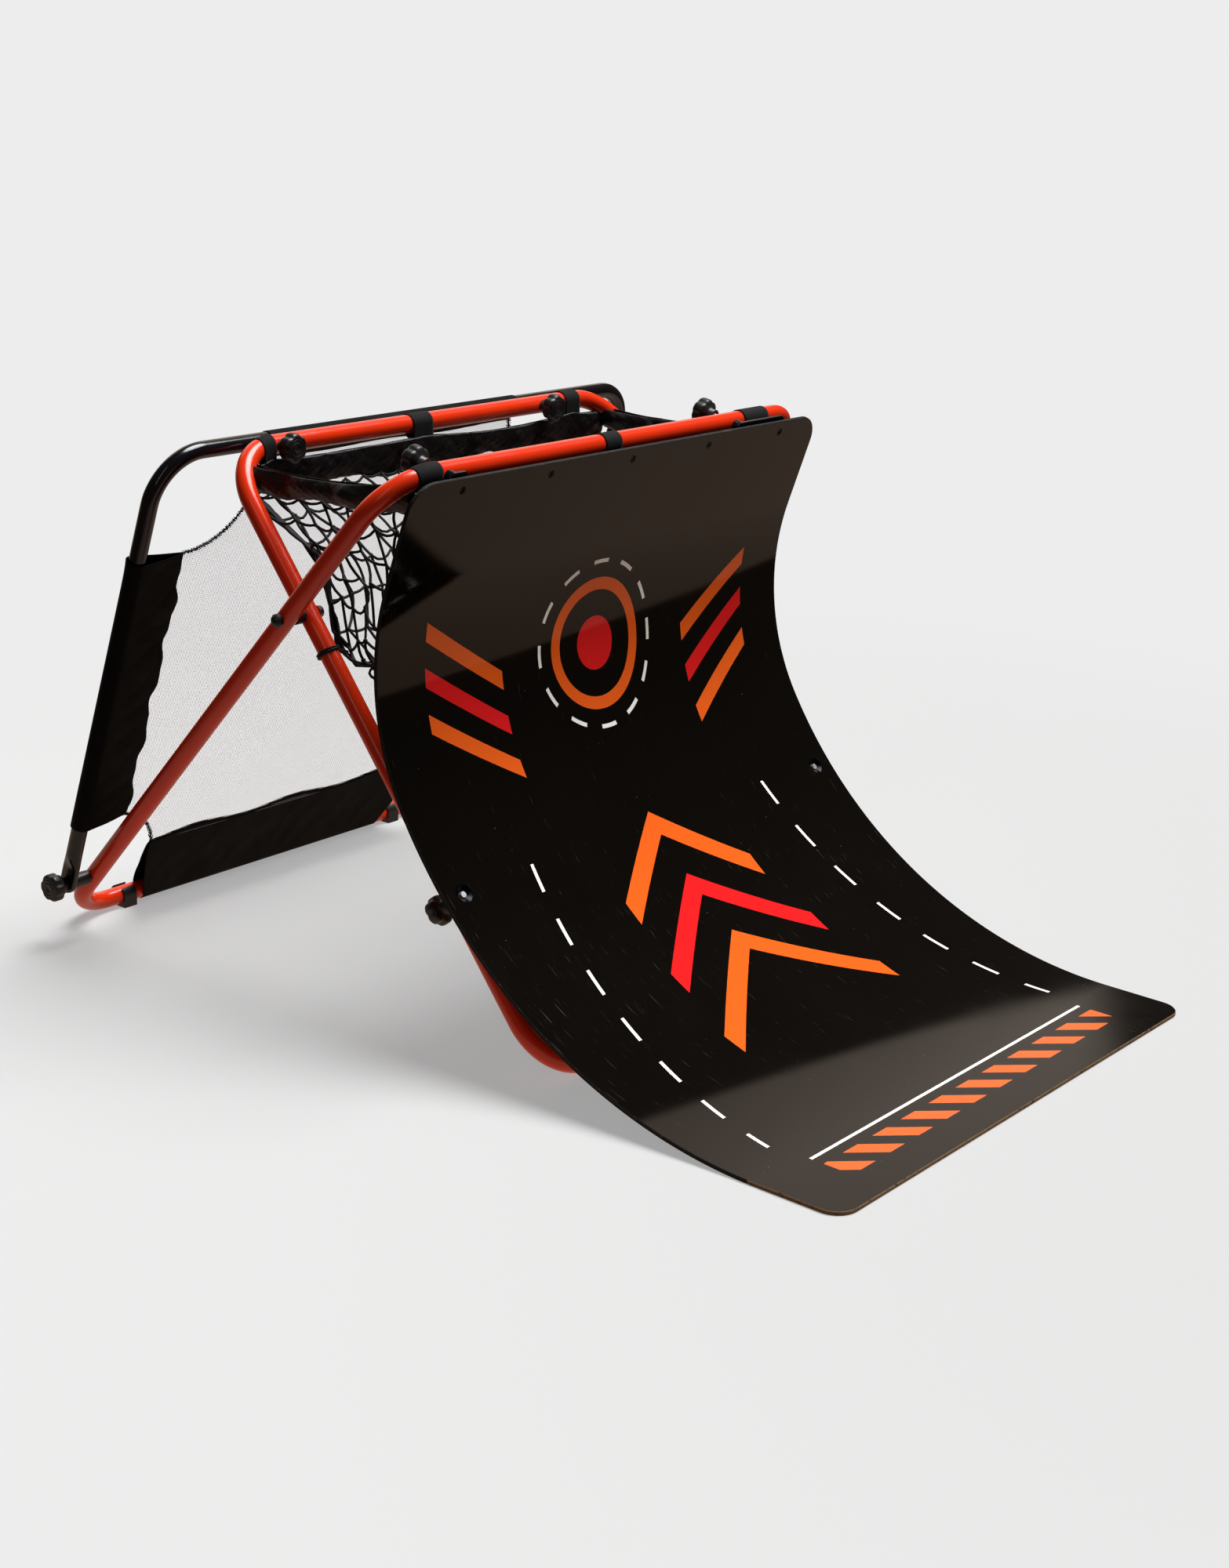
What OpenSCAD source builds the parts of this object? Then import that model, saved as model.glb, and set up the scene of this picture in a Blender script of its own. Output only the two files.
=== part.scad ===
// Folding football training ramp: two crossed tube frames, a bent ramp panel,
// a basket net between the top bars and a rebound net on a third frame.
// Millimetres. X is the width, -Y the front, Z up, floor at Z = 0.

/* [Tubes] */
// Outside diameter of the red frames' tube
frame_tube = 25; // [22:0.5:28]
// Outside diameter of the rebound frame's tube
rebound_tube = 22; // [19:0.5:25]
// Wall of every tube
tube_wall = 1.5; // [1.2:0.1:2]

/* [Rear leg frame] */
// Half width between the middles of its legs
rear_frame_half = 412.5; // [380:0.5:440]
// From the pivot up to the top bar, along the leg
rear_top_reach = 261; // [240:1:280]
// From the pivot down to the bottom bar, along the leg
rear_foot_reach = 664; // [620:1:700]
// Slope of the legs from the floor, in degrees
rear_leg_slope = 48.94; // [46:0.01:52]
// Bend radius of the corners, to the tube's middle
rear_bend = 71; // [60:1:85]

/* [Front leg frame] */
// Gap between the two frames' legs, filled by the pivot spacer
leg_gap = 12.9; // [8:0.1:16]
// From the pivot up to the top bar, along the leg
front_top_reach = 230.9; // [215:0.1:245]
// From the pivot down to the bottom bar, along the leg
front_foot_reach = 645.5; // [635:0.5:660]
// Bend radius of the corners, to the tube's middle
front_bend = 77; // [65:1:90]

/* [Rebound frame] */
// Clear gap between its legs and the rear frame's legs
rebound_gap = 22; // [16:0.5:28]
// Bend radius of the corners, to the tube's middle
rebound_bend = 69; // [60:1:80]
// Clear gap between its top bar and the front leg frame's top bar
clamp_gap = 2.8; // [2.8:0.1:4]
// Up the rear leg from the bottom bar to the base bolt
base_bolt_up = 92; // [80:1:110]
// From the base bolt up to the round part of the leg
rebound_tail = 26; // [20:1:34]
// Thickness of the pressed flat at the end of the leg
rebound_flat = 9; // [7:0.5:12]

/* [Ramp panel] */
// Half width
ramp_half = 409.4; // [380:0.2:430]
// Thickness
ramp_t = 5.5; // [4:0.1:8]
// Flat length at the foot, on the floor
ramp_foot = 117; // [90:1:140]
// Tangent length of the lower curve, between the foot and the legs
ramp_run_in = 307.41; // [280:0.01:330]
// Slope where the lower curve ends, in degrees
ramp_a_low = 57.7; // [54:0.1:62]
// Slope where the upper curve ends, in degrees
ramp_a_high = 108.1; // [104:0.1:112]
// From the middle of the rear frame's top bar to the riding face
ramp_to_bar = 36.37; // [34:0.01:40]
// How far the top edge stands past the middle of that bar
ramp_over_bar = 9.16; // [4:0.01:14]
// Corner radius at the top
ramp_corner_top = 38; // [20:1:60]
// Corner radius at the foot
ramp_corner_foot = 30; // [15:1:60]
// Gap between the back of the panel and the front legs
ramp_gap = 0.5; // [0.4:0.1:2]

/* [Ramp rail and hangers] */
// Height of the steel rail behind the top edge
rail_h = 26; // [24:1:34]
// Thickness of the rail and of the hanger plates
plate_t = 3; // [2:0.5:4]
// Spacing of the five rail screws
screw_pitch = 161; // [140:1:165]
// Rail screws below the top edge
screw_down = 16; // [15:0.5:20]
// Shank diameter of the rail screws
screw_d = 4.2; // [3.5:0.1:5]
// Head diameter of the rail screws
screw_head_d = 10; // [8:0.5:12]
// Middle of the left hanger stud, from the centre plane
hanger_left = 326; // [300:1:335]
// Middle of the right hanger stud, from the centre plane
hanger_right = 245; // [225:1:320]
// Tilt of the hanger studs, in degrees
hanger_tilt = 10; // [0:1:14]
// Outside diameter of the threaded boss
boss_d = 15; // [13:0.5:16]
// Gap between a hanger knob and the bar
hanger_standoff = 10; // [4:1:16]

/* [Ramp bolts] */
// Ramp studs below the point where the lower curve touches the legs
ramp_bolt_below = 34; // [10:1:60]
// Diameter of the dished cups in the panel
cup_d = 25; // [20:1:30]
// Depth of the dish
cup_depth = 3.6; // [2.5:0.1:4]
// Diameter of the cup's threaded neck
cup_neck_d = 13; // [11:0.5:15]

/* [Clamps] */
// Left rear clamp, from the centre plane
clamp_left = 291; // [270:1:300]
// Right rear clamp, from the centre plane
clamp_right = 217; // [200:1:240]
// Length of the threaded inserts
insert_len = 12; // [10:0.5:14]
// Reach of the clamp studs into the rebound frame's top bar
clamp_reach = 9; // [6:0.5:10]
// Wall of the threaded inserts
insert_wall = 1.6; // [1.2:0.1:2]
// Flange thickness of the threaded inserts
insert_flange = 1; // [0.6:0.1:1.2]

/* [Knobs and studs] */
// Diameter of every knob over its lobes
knob_d = 38; // [32:0.5:42]
// Thickness of the lobed head
knob_head_h = 17; // [14:0.5:20]
// Diameter of the knob's neck
knob_neck_d = 18; // [16:0.5:22]
// Length of the knob's neck
knob_neck_h = 12; // [9:0.5:15]
// Number of lobes on a knob
knob_lobes = 6; // [5:1:8]
// Diameter of every stud
stud_d = 8; // [6:0.5:9]
// Radial clearance of a stud in a drilled hole
stud_clearance = 0.08; // [0.05:0.01:0.1]
// Radial play of a stud in an insert on another body
insert_play = 0.6; // [0.4:0.1:1]
// Depth of a stud inside its knob
stud_in_knob = 16; // [12:1:20]

/* [Pivot] */
// Diameter of the pivot bolts
pivot_bolt_d = 10; // [8:0.5:12]
// Outside diameter of the pivot spacers
spacer_d = 20; // [16:0.5:24]
// Diameter of the domed cap nuts
cap_nut_d = 17; // [15:0.5:20]
// Height of the domed cap nuts
cap_nut_h = 10; // [8:0.5:14]

/* [Feet] */
// Wall of the foot clips
clip_wall = 3; // [2:0.5:4]
// Length of a foot clip along the bar
clip_len = 22; // [15:1:30]
// Left rear clip, from the centre plane
clip_left = 312; // [300:1:325]
// Right rear clip, from the centre plane
clip_right = 222; // [200:1:300]
// Front clips, from the centre plane
front_clip_side = 255; // [200:1:280]

/* [Basket] */
// Gap between the basket's side rims and the front legs
basket_side_gap = 8; // [5:0.5:14]
// Height of the front and side rims
rim_h = 30; // [24:1:36]
// Thickness of the rims
rim_t = 8; // [5:0.5:10]
// Height of the rear rim
rear_rim_h = 40; // [32:1:46]
// Sag of the rims between their ends
rim_sag = 9; // [4:0.5:12]
// Waves along the rear rim's lower edge
rim_waves = 2; // [1:1:4]
// Height of the net's floor above the ground
net_floor = 450; // [430:1:470]
// Wall of the net
net_wall = 3; // [2:0.5:4]
// Thickness of a strap
strap_t = 1; // [0.8:0.1:1.1]
// Gap between a strap and its bar
strap_slack = 0.2; // [0.1:0.05:0.3]
// Cord diameter of the net ties
tie_cord = 3.6; // [3:0.1:5]
// From the pivot down the front leg to the net ties
tie_down = 55; // [45:1:70]

/* [Rebound net] */
// From the top bar down the leg to the side sleeves
side_sleeve_top = 147; // [130:1:170]
// Length of the side sleeves
side_sleeve_len = 404; // [380:1:420]
// Inner flap of the side sleeves, from the leg's middle
side_sleeve_in = 78; // [60:1:90]
// Left end of the top sleeve, from the centre plane
top_sleeve_left = 281; // [260:1:282]
// Right end of the top sleeve, from the centre plane
top_sleeve_right = 195; // [180:1:206]
// Left end of the bottom sleeve's upper edge, from the centre plane
bottom_sleeve_left = 321; // [300:1:330]
// Right end of the bottom sleeve's upper edge, from the centre plane
bottom_sleeve_right = 222; // [210:1:235]
// How much further in each end lies at the bar
sleeve_slant = 36; // [20:1:45]
// From the top bar down the leg to the bottom sleeve
bottom_sleeve_down = 608; // [595:1:615]
// Thickness of the sleeves' cloth, both layers
sleeve_t = 2; // [1.6:0.1:2]
// Waves along the inner edge of a sleeve
sleeve_waves = 4; // [2:1:6]
// Height of those waves
sleeve_wave_h = 3.5; // [1:0.5:6]
// Thickness of the mesh
mesh_t = 1.2; // [0.8:0.1:2]
// Columns of gaps in the mesh
mesh_columns = 20; // [8:1:22]
// Rows of gaps in the mesh
mesh_rows = 13; // [6:1:13]
// Width of the thread bundles between the gaps
mesh_bar = 7; // [4:0.5:12]
// Diameter of the bound corner cords
corner_cord = 3; // [2:0.1:4]
// Radius of the cut corner at the top left
corner_top_left = 106; // [98:1:160]
// Radius of the cut corner at the top right
corner_top_right = 170; // [150:1:240]
// Radius of the cut corner at the foot, left
corner_foot_left = 80; // [60:1:120]
// Radius of the cut corner at the foot, right
corner_foot_right = 150; // [100:1:200]

/* [Hidden] */
$fn = 32;
LEFT = -1;
RIGHT = 1;
eps = 0.01;

frame_r = frame_tube / 2;
rebound_r = rebound_tube / 2;
stud_r = stud_d / 2;
hole_r = stud_r + stud_clearance;
pivot_hole_r = pivot_bolt_d / 2 + stud_clearance;

// Half widths of the three nested frames
front_frame_half = rear_frame_half - frame_tube - leg_gap;
rebound_half = rear_frame_half + frame_r + rebound_gap + rebound_r;

// Side view, as [y, z] with y = 0 at the pivot
foot_z = frame_r + clip_wall;
pivot_z = foot_z + rear_foot_reach * sin(rear_leg_slope);
front_leg_slope = asin((pivot_z - foot_z) / front_foot_reach);
rear_top = [-rear_top_reach * cos(rear_leg_slope), pivot_z + rear_top_reach * sin(rear_leg_slope)];
rear_foot = [rear_foot_reach * cos(rear_leg_slope), foot_z];
front_top = [front_top_reach * cos(front_leg_slope), pivot_z + front_top_reach * sin(front_leg_slope)];
front_foot = [-front_foot_reach * cos(front_leg_slope), foot_z];
rebound_top = [front_top[0] + frame_r + clamp_gap + rebound_r, front_top[1]];
base_bolt = rear_foot + base_bolt_up * [-cos(rear_leg_slope), sin(rear_leg_slope)];
rebound_drop = rebound_top[1] - base_bolt[1];
rebound_run = base_bolt[0] - rebound_top[0];
rebound_leg = sqrt(rebound_drop * rebound_drop + rebound_run * rebound_run);
rebound_lean = atan(rebound_run / rebound_drop);

// Ramp profile: radii and middles of its two curves, and its ends. The lower curve
// touches the floor and the legs, the top straight stands off the rear frame's top bar.
leg_dir = [cos(front_leg_slope), sin(front_leg_slope)];
ramp_back = [sin(ramp_a_high), -cos(ramp_a_high)];
ramp_up = [cos(ramp_a_high), sin(ramp_a_high)];
ramp_r_low = ramp_run_in / tan(front_leg_slope / 2);
low_reach = ramp_r_low + ramp_t + ramp_gap + frame_r;
low_mid_z = ramp_t + ramp_r_low;
low_mid_y = (-low_reach + (low_mid_z - pivot_z) * cos(front_leg_slope)) / sin(front_leg_slope);
low_mid = [low_mid_y, low_mid_z];
turn_cos = cos(ramp_a_high - ramp_a_low);
top_reach = (rear_top - low_mid) * ramp_back - ramp_to_bar;
ramp_r_high = (top_reach - ramp_r_low * turn_cos) / (1 - turn_cos);
radius_step = ramp_r_low - ramp_r_high;
high_mid = low_mid + radius_step * [sin(ramp_a_low), -cos(ramp_a_low)];
top_start = high_mid + ramp_r_high * ramp_back;
ramp_top = (rear_top - top_start) * ramp_up + ramp_over_bar;
top_edge = top_start + ramp_top * ramp_up;
ramp_front_y = low_mid[0] - ramp_foot;

// The part's origin is in the middle of its length
rear_limit = rear_foot[0] + frame_r + clip_wall;
y_mid = (ramp_front_y + rear_limit) / 2;

// Knobs, studs and inserts, as distances from the middle of the bar or leg
knob_seat = 0.3;
clamp_seat = frame_r + knob_seat;
hanger_seat = frame_r + hanger_standoff;
base_seat = rebound_flat / 2 + knob_seat;
clamp_face = frame_r + clamp_gap;
clamp_insert_end = clamp_face + insert_len;
clamp_insert_r = stud_r + insert_play + insert_wall;
base_face = rebound_half - rear_frame_half - frame_r;
base_insert_len = insert_len + 6;
base_insert_r = stud_r + insert_wall;
inner_cap_h = 7;

joint_lap = 0.02;
plate_gap = 0.01;

// Rail and brackets: overhangs, and where the hanger axis meets the plates
rail_drop = screw_down - rail_h / 2;
rail_end = 14;
bracket_rise = 4;
hanger_dir = [cos(hanger_tilt), sin(hanger_tilt)];
boss_end = ((rear_top - top_edge) * ramp_back - ramp_t - 1.5 * plate_t) / (hanger_dir * ramp_back);

// Cups: from the leg's middle out to the riding face, along the stud
cup_off = ramp_bolt_below;
ramp_bolt_down = ([0, pivot_z] - low_mid) * leg_dir + ramp_bolt_below;
cup_rim_at = low_reach - sqrt(ramp_r_low * ramp_r_low - cup_off * cup_off);
cup_rim_t = 0.8;
cup_length = ramp_t + 0.2;
stud_tip = 2.2;

// Basket: straps as [from, to] across the width, and the rims' places
front_straps = [[-372, -335], [-31, 1], [267, 321]];
rear_straps = [[-323, -301], [-50, -12], [266, 297]];
rim_half = front_frame_half - frame_r - basket_side_gap;
rim_drop = frame_r + strap_slack + strap_t + 1.5;
rear_rim_y = front_top[0] - frame_r - 1;
front_rim_y = rear_top[0] + frame_r + strap_slack + strap_t + 2;
rim_top_rear = front_top[1] - rim_drop;
rim_top_front = rear_top[1] - rim_drop;
rim_wave = 5;
rim_clearance = 0.5;
net_knee = 2;
net_front_y = high_mid[0] + ramp_r_high + ramp_t + 7;

// Rebound net, in its frame's plane: X across, Y down from the top bar
mesh_top = rebound_r + 3;
mesh_side = rebound_half - side_sleeve_in;
sleeve_lap = 10;
sleeve_foot = side_sleeve_top + side_sleeve_len;
mesh_foot_gap = 2;
mesh_pitch_x = 2 * mesh_side / mesh_columns;
mesh_pitch_y = (bottom_sleeve_down - mesh_top - 20) / mesh_rows;

// Cut corners: [end on a side sleeve, end on the top or bottom sleeve, radius, turn]
cord_gap = 3.5;
mesh_corners = [
  [[-mesh_side, side_sleeve_top], [-top_sleeve_left - cord_gap, mesh_top + 2], corner_top_left, 1],
  [[mesh_side, side_sleeve_top], [top_sleeve_right + cord_gap, mesh_top + 2], corner_top_right, -1],
  [[-mesh_side, sleeve_foot], [-bottom_sleeve_left, bottom_sleeve_down + 2], corner_foot_left, -1],
  [[mesh_side, sleeve_foot], [bottom_sleeve_right, bottom_sleeve_down + 2], corner_foot_right, 1]
];

module place() {
  translate([0, -y_mid, 0]) children();
}

// Local Y runs up a leg from the pivot, local Z is square to the frame
module on_front_legs() {
  translate([0, 0, pivot_z]) rotate([front_leg_slope, 0, 0]) children();
}

module on_rear_legs() {
  translate([0, 0, pivot_z]) rotate([180 - rear_leg_slope, 0, 0]) children();
}

// Local Y runs down the rebound frame from its top bar, local Z towards the rear
module on_rebound() {
  translate([0, rebound_top[0], rebound_top[1]]) rotate([-90 + rebound_lean, 0, 0]) children();
}

// Local Y runs up the ramp's top straight from its edge, local Z to the front
module on_ramp_top() {
  translate([0, top_edge[0], top_edge[1]]) rotate([ramp_a_high, 0, 0]) children();
}

module bar_x(half, r) {
  translate([-half, 0, 0]) rotate([0, 90, 0]) cylinder(r = r, h = 2 * half);
}

module leg_y(low, high, r) {
  translate([0, low, 0]) rotate([-90, 0, 0]) cylinder(r = r, h = high - low);
}

module bend(radius, r) {
  rotate_extrude(angle = 90) translate([radius, 0]) circle(r = r);
}

// A top bar at Y = high with the bends at its ends
module crown(half, high, radius, r) {
  translate([0, high, 0]) bar_x(half - radius, r);
  translate([half - radius, high - radius, 0]) bend(radius, r);
  translate([radius - half, high - radius, 0]) rotate(90) bend(radius, r);
}

// A closed loop of round bar in the XY plane, legs along Y
module loop(half, low, high, radius, r) {
  crown(half, high, radius, r);
  rotate(180) crown(half, -low, radius, r);
  for (side = [LEFT, RIGHT]) {
    translate([side * half, 0, 0]) leg_y(low + radius, high - radius, r);
  }
}

// An arch of round bar: top bar at Y = 0, legs down to Y = depth
module arch(half, depth, radius, r) {
  rotate(180) crown(half, 0, radius, r);
  for (side = [LEFT, RIGHT]) translate([side * half, 0, 0]) leg_y(radius, depth, r);
}

// A cross hole through a bar, along the local Z
module cross_hole(r) {
  translate([0, 0, -frame_tube]) cylinder(r = r, h = 2 * frame_tube);
}

module rear_leg_frame() {
  color("orangered") place() difference() {
    on_rear_legs() difference() {
      loop(rear_frame_half, -rear_foot_reach, rear_top_reach, rear_bend, frame_r);
      loop(rear_frame_half, -rear_foot_reach, rear_top_reach, rear_bend, frame_r - tube_wall);
    }
    pivot_holes(rear_frame_half);
    hanger_axes() cross_hole(hole_r);
    base_insert_holes();
  }
}

module front_leg_frame() {
  color("orangered") place() difference() {
    on_front_legs() difference() {
      loop(front_frame_half, -front_foot_reach, front_top_reach, front_bend, frame_r);
      loop(front_frame_half, -front_foot_reach, front_top_reach, front_bend, frame_r - tube_wall);
    }
    pivot_holes(front_frame_half);
    clamp_axes() cross_hole(hole_r);
    ramp_bolt_axes() cross_hole(hole_r);
  }
}

module pivot_holes(half) {
  for (side = [LEFT, RIGHT]) {
    translate([side * half - frame_tube, 0, pivot_z]) rotate([0, 90, 0])
      cylinder(r = pivot_hole_r, h = 2 * frame_tube);
  }
}

// The flattened leg end is a slot-shaped plate over the base bolt
module leg_end_shape() {
  flat_w = rebound_r + rebound_flat / 4;
  union() {
    translate([-flat_w, rebound_leg - rebound_tail - joint_lap]) square([2 * flat_w, rebound_tail + joint_lap]);
    translate([0, rebound_leg]) circle(r = flat_w);
  }
}

module rebound_frame() {
  straight_end = rebound_leg - rebound_tail;
  color("black") place() difference() {
    on_rebound() union() {
      difference() {
        arch(rebound_half, straight_end, rebound_bend, rebound_r);
        arch(rebound_half, straight_end + eps, rebound_bend, rebound_r - tube_wall);
      }
      for (side = [LEFT, RIGHT]) translate([side * rebound_half, 0, 0]) leg_end();
    }
    clamp_axes() translate([0, 0, -clamp_insert_end])
      cylinder(r = clamp_insert_r, h = insert_len + clamp_gap);
    base_axes() translate([0, 0, -rebound_tube]) cylinder(r = hole_r, h = 2 * rebound_tube);
  }
}

// The end of a leg: the tube is pressed flat and rounded off round the bolt
module leg_end() {
  rotate([0, -90, 0]) translate([0, 0, -rebound_flat / 2]) linear_extrude(rebound_flat) leg_end_shape();
}

// Axes of the eight knobs: local Z points from the bar to the knob
module clamp_axis(side) {
  x = side == LEFT ? -clamp_left : clamp_right;
  translate([x, front_top[0], front_top[1]]) rotate([90, 0, 0]) children();
}

module clamp_axes() {
  for (side = [LEFT, RIGHT]) clamp_axis(side) children();
}

module hanger_axis(side) {
  x = side == LEFT ? -hanger_left : hanger_right;
  translate([x, rear_top[0], rear_top[1]]) rotate([hanger_tilt - 90, 0, 0]) children();
}

module hanger_axes() {
  for (side = [LEFT, RIGHT]) hanger_axis(side) children();
}

module ramp_bolt_axis(side) {
  translate([side * front_frame_half, 0, 0]) on_front_legs()
    translate([0, -ramp_bolt_down, 0]) rotate([180, 0, 0]) children();
}

module ramp_bolt_axes() {
  for (side = [LEFT, RIGHT]) ramp_bolt_axis(side) children();
}

module base_axis(side) {
  translate([side * rebound_half, base_bolt[0], base_bolt[1]]) rotate([0, side * 90, 0]) children();
}

module base_axes() {
  for (side = [LEFT, RIGHT]) base_axis(side) children();
}

// Pivot hardware
module pivot_bolts() {
  inner = front_frame_half - frame_r;
  outer = rear_frame_half + frame_r;
  color("dimgray") place() for (side = [LEFT, RIGHT]) {
    translate([side * inner, 0, pivot_z]) rotate([0, side * 90, 0]) {
      translate([0, 0, -inner_cap_h / 2])
        cylinder(r = pivot_bolt_d / 2, h = outer - inner + inner_cap_h / 2 + cap_nut_h / 2);
      translate([0, 0, -inner_cap_h])
        cylinder(r1 = cap_nut_d / 2 - 1, r2 = cap_nut_d / 2, h = inner_cap_h - knob_seat);
    }
  }
}

module pivot_spacers() {
  low = front_frame_half + frame_r + knob_seat;
  color("black") place() for (side = [LEFT, RIGHT]) {
    translate([side * low, 0, pivot_z]) rotate([0, side * 90, 0]) difference() {
      cylinder(r = spacer_d / 2, h = leg_gap - 2 * knob_seat);
      translate([0, 0, -eps]) cylinder(r = pivot_hole_r, h = leg_gap);
    }
  }
}

// A domed nut outside each rear leg
module pivot_cap_nuts() {
  seat = rear_frame_half + frame_r;
  color("black") place() for (side = [LEFT, RIGHT]) {
    translate([side * seat, 0, pivot_z]) rotate([0, side * 90, 0]) difference() {
      intersection() {
        cylinder(r = cap_nut_d / 2, h = cap_nut_h);
        translate([0, 0, cap_nut_h - cap_nut_d / 2 - 1]) sphere(r = cap_nut_d / 2 + 1);
      }
      translate([0, 0, -eps]) cylinder(r = pivot_bolt_d / 2, h = cap_nut_h / 2 + 2 * eps);
    }
  }
}

// Ramp panel: profile in the side view, then rounded corners, screw holes and cup seats
module arc_band(mid, radius, thick, from, to) {
  far = 2 * (radius + thick);
  wedge = [for (a = [from, (from + to) / 2, to]) far * [sin(a), -cos(a)]];
  translate(mid) intersection() {
    difference() {
      circle(r = radius + thick, $fn = 360);
      circle(r = radius, $fn = 360);
    }
    polygon(concat([[0, 0]], wedge));
  }
}

module ramp_profile() {
  lap_turn = joint_lap * 180 / (PI * ramp_r_high);
  translate([ramp_front_y, 0]) square([ramp_foot + joint_lap, ramp_t]);
  arc_band(low_mid, ramp_r_low, ramp_t, 0, ramp_a_low);
  arc_band(high_mid, ramp_r_high, ramp_t, ramp_a_low - lap_turn, ramp_a_high);
  translate(top_start) rotate(ramp_a_high) translate([-joint_lap, -ramp_t])
    square([ramp_top + joint_lap, ramp_t]);
}

// Removes a square corner outside a quarter circle; the corner is at the origin
module corner_cutter(radius, side) {
  translate([0, 0, -2 * ramp_t]) linear_extrude(4 * ramp_t) difference() {
    translate([side == RIGHT ? -radius : -1, -radius]) square(radius + 1);
    translate([-side * radius, -radius]) circle(r = radius);
  }
}

module ramp_panel() {
  color("#17140f") place() difference() {
    rotate([90, 0, 90]) translate([0, 0, -ramp_half]) linear_extrude(2 * ramp_half) ramp_profile();
    for (side = [LEFT, RIGHT]) {
      on_ramp_top() translate([side * ramp_half, 0, 0]) corner_cutter(ramp_corner_top, side);
      translate([side * ramp_half, ramp_front_y, 0]) rotate([180, 0, 0])
        corner_cutter(ramp_corner_foot, side);
      ramp_bolt_axis(side) cup_seat();
    }
    screw_places() screw_shape(screw_d / 2 + 0.05, screw_head_d / 2 + 0.05);
  }
}

module screw_places() {
  on_ramp_top() for (k = [-2:2])
    translate([k * screw_pitch, -screw_down, 0]) rotate([180, 0, 0]) children();
}

// A countersunk screw; local Z runs into the panel from its riding face
module screw_shape(shank, head) {
  cone = head - shank;
  translate([0, 0, -eps]) cylinder(r = head, h = 0.6 + eps);
  translate([0, 0, 0.6]) cylinder(r1 = head, r2 = shank, h = cone);
  cylinder(r = shank, h = ramp_t + 2 * plate_t + 2);
}

module rail_screws() {
  color("silver") place() screw_places() difference() {
    screw_shape(screw_d / 2, screw_head_d / 2);
    translate([0, 0, -1]) cylinder(r = screw_head_d, h = 1.3);
  }
}

module ramp_top_rail() {
  half = 2 * screw_pitch + rail_end;
  color("#202020") place() difference() {
    on_ramp_top() translate([-half, -rail_h - rail_drop, -ramp_t - plate_gap - plate_t])
      cube([2 * half, rail_h, plate_t]);
    screw_places() cylinder(r = screw_d / 2 + 0.05, h = 4 * ramp_t);
  }
}

// Hanger bracket: a plate on the rail that rises past it, with a threaded boss behind
module ramp_bracket(side) {
  boss_x = side == LEFT ? -hanger_left : hanger_right;
  near = side * boss_x - boss_d;
  far = max(side * boss_x + boss_d, 2 * screw_pitch + rail_end);
  low = -rail_h - rail_drop;
  high = bracket_rise;
  plate_back = -ramp_t - 2 * (plate_gap + plate_t);
  color("#262626") place() difference() {
    union() {
      on_ramp_top() translate([0, 0, plate_back]) linear_extrude(plate_t) polygon([
        [side * near, low], [side * far, low], [side * far, high - 6], [side * (far - 6), high],
        [side * (near + 4), high], [side * near, high - 4]
      ]);
      hanger_axis(side) translate([0, 0, -boss_end]) cylinder(r = boss_d / 2, h = boss_end - frame_r - 0.5);
    }
    screw_places() cylinder(r = screw_d / 2 + 0.05, h = 4 * ramp_t);
    hanger_axis(side) translate([0, 0, -boss_end - eps]) cylinder(r = hole_r, h = boss_end);
  }
}

module ramp_bracket_left() {
  ramp_bracket(LEFT);
}

module ramp_bracket_right() {
  ramp_bracket(RIGHT);
}

// Dished cups; local Z runs from the riding face to the leg, zero at the rim
module cup_outline(grow, top) {
  polygon([
    [0, top], [cup_d / 2 + grow, top], [cup_d / 2 + grow, cup_rim_t + grow],
    [cup_neck_d / 2 + grow, cup_depth + cup_rim_t + grow], [cup_neck_d / 2 + grow, cup_length],
    [0, cup_length]
  ]);
}

module cup_seat() {
  translate([0, 0, -cup_rim_at]) union() {
    rotate_extrude() cup_outline(0.02, -2 * ramp_t);
    cylinder(r = cup_neck_d / 2 + 0.02, h = 3 * ramp_t);
  }
}

module ramp_bolt_cups() {
  bore = stud_r + insert_play;
  color("silver") place() ramp_bolt_axes() translate([0, 0, -cup_rim_at]) difference() {
    rotate_extrude() cup_outline(0, 0);
    translate([0, 0, -eps]) cylinder(r1 = cup_d / 2 - 1, r2 = bore, h = cup_depth);
    cylinder(r = bore, h = 3 * ramp_t);
  }
}

// Knob: round lobed head, conical shoulder and plain neck, bored for its stud; base at Z = 0
module knob() {
  shoulder = 4;
  flute_r = 5;
  difference() {
    union() {
      cylinder(r = knob_neck_d / 2, h = knob_neck_h);
      translate([0, 0, knob_neck_h - shoulder])
        cylinder(r1 = knob_neck_d / 2, r2 = knob_d / 2 - 1, h = shoulder);
      translate([0, 0, knob_neck_h]) intersection() {
        cylinder(r = knob_d / 2, h = knob_head_h);
        translate([0, 0, knob_head_h - 1.7 * knob_d]) sphere(r = 1.7 * knob_d);
      }
    }
    for (k = [0:knob_lobes - 1]) rotate(k * 360 / knob_lobes)
      translate([knob_d / 2 + flute_r / 2, 0, knob_neck_h - shoulder - 1])
        cylinder(r = flute_r, h = knob_head_h + shoulder + 2, $fn = 24);
    translate([0, 0, -1]) cylinder(r = stud_r, h = stud_in_knob + 1);
  }
}

// A stud from inside its knob down to Z = end, on the knob's axis
module stud(end, seat) {
  translate([0, 0, end]) cylinder(r = stud_r, h = seat + stud_in_knob - end);
}

module rear_knob_left() {
  color("#141414") place() clamp_axis(LEFT) translate([0, 0, clamp_seat]) knob();
}

module rear_knob_right() {
  color("#141414") place() clamp_axis(RIGHT) translate([0, 0, clamp_seat]) knob();
}

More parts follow.
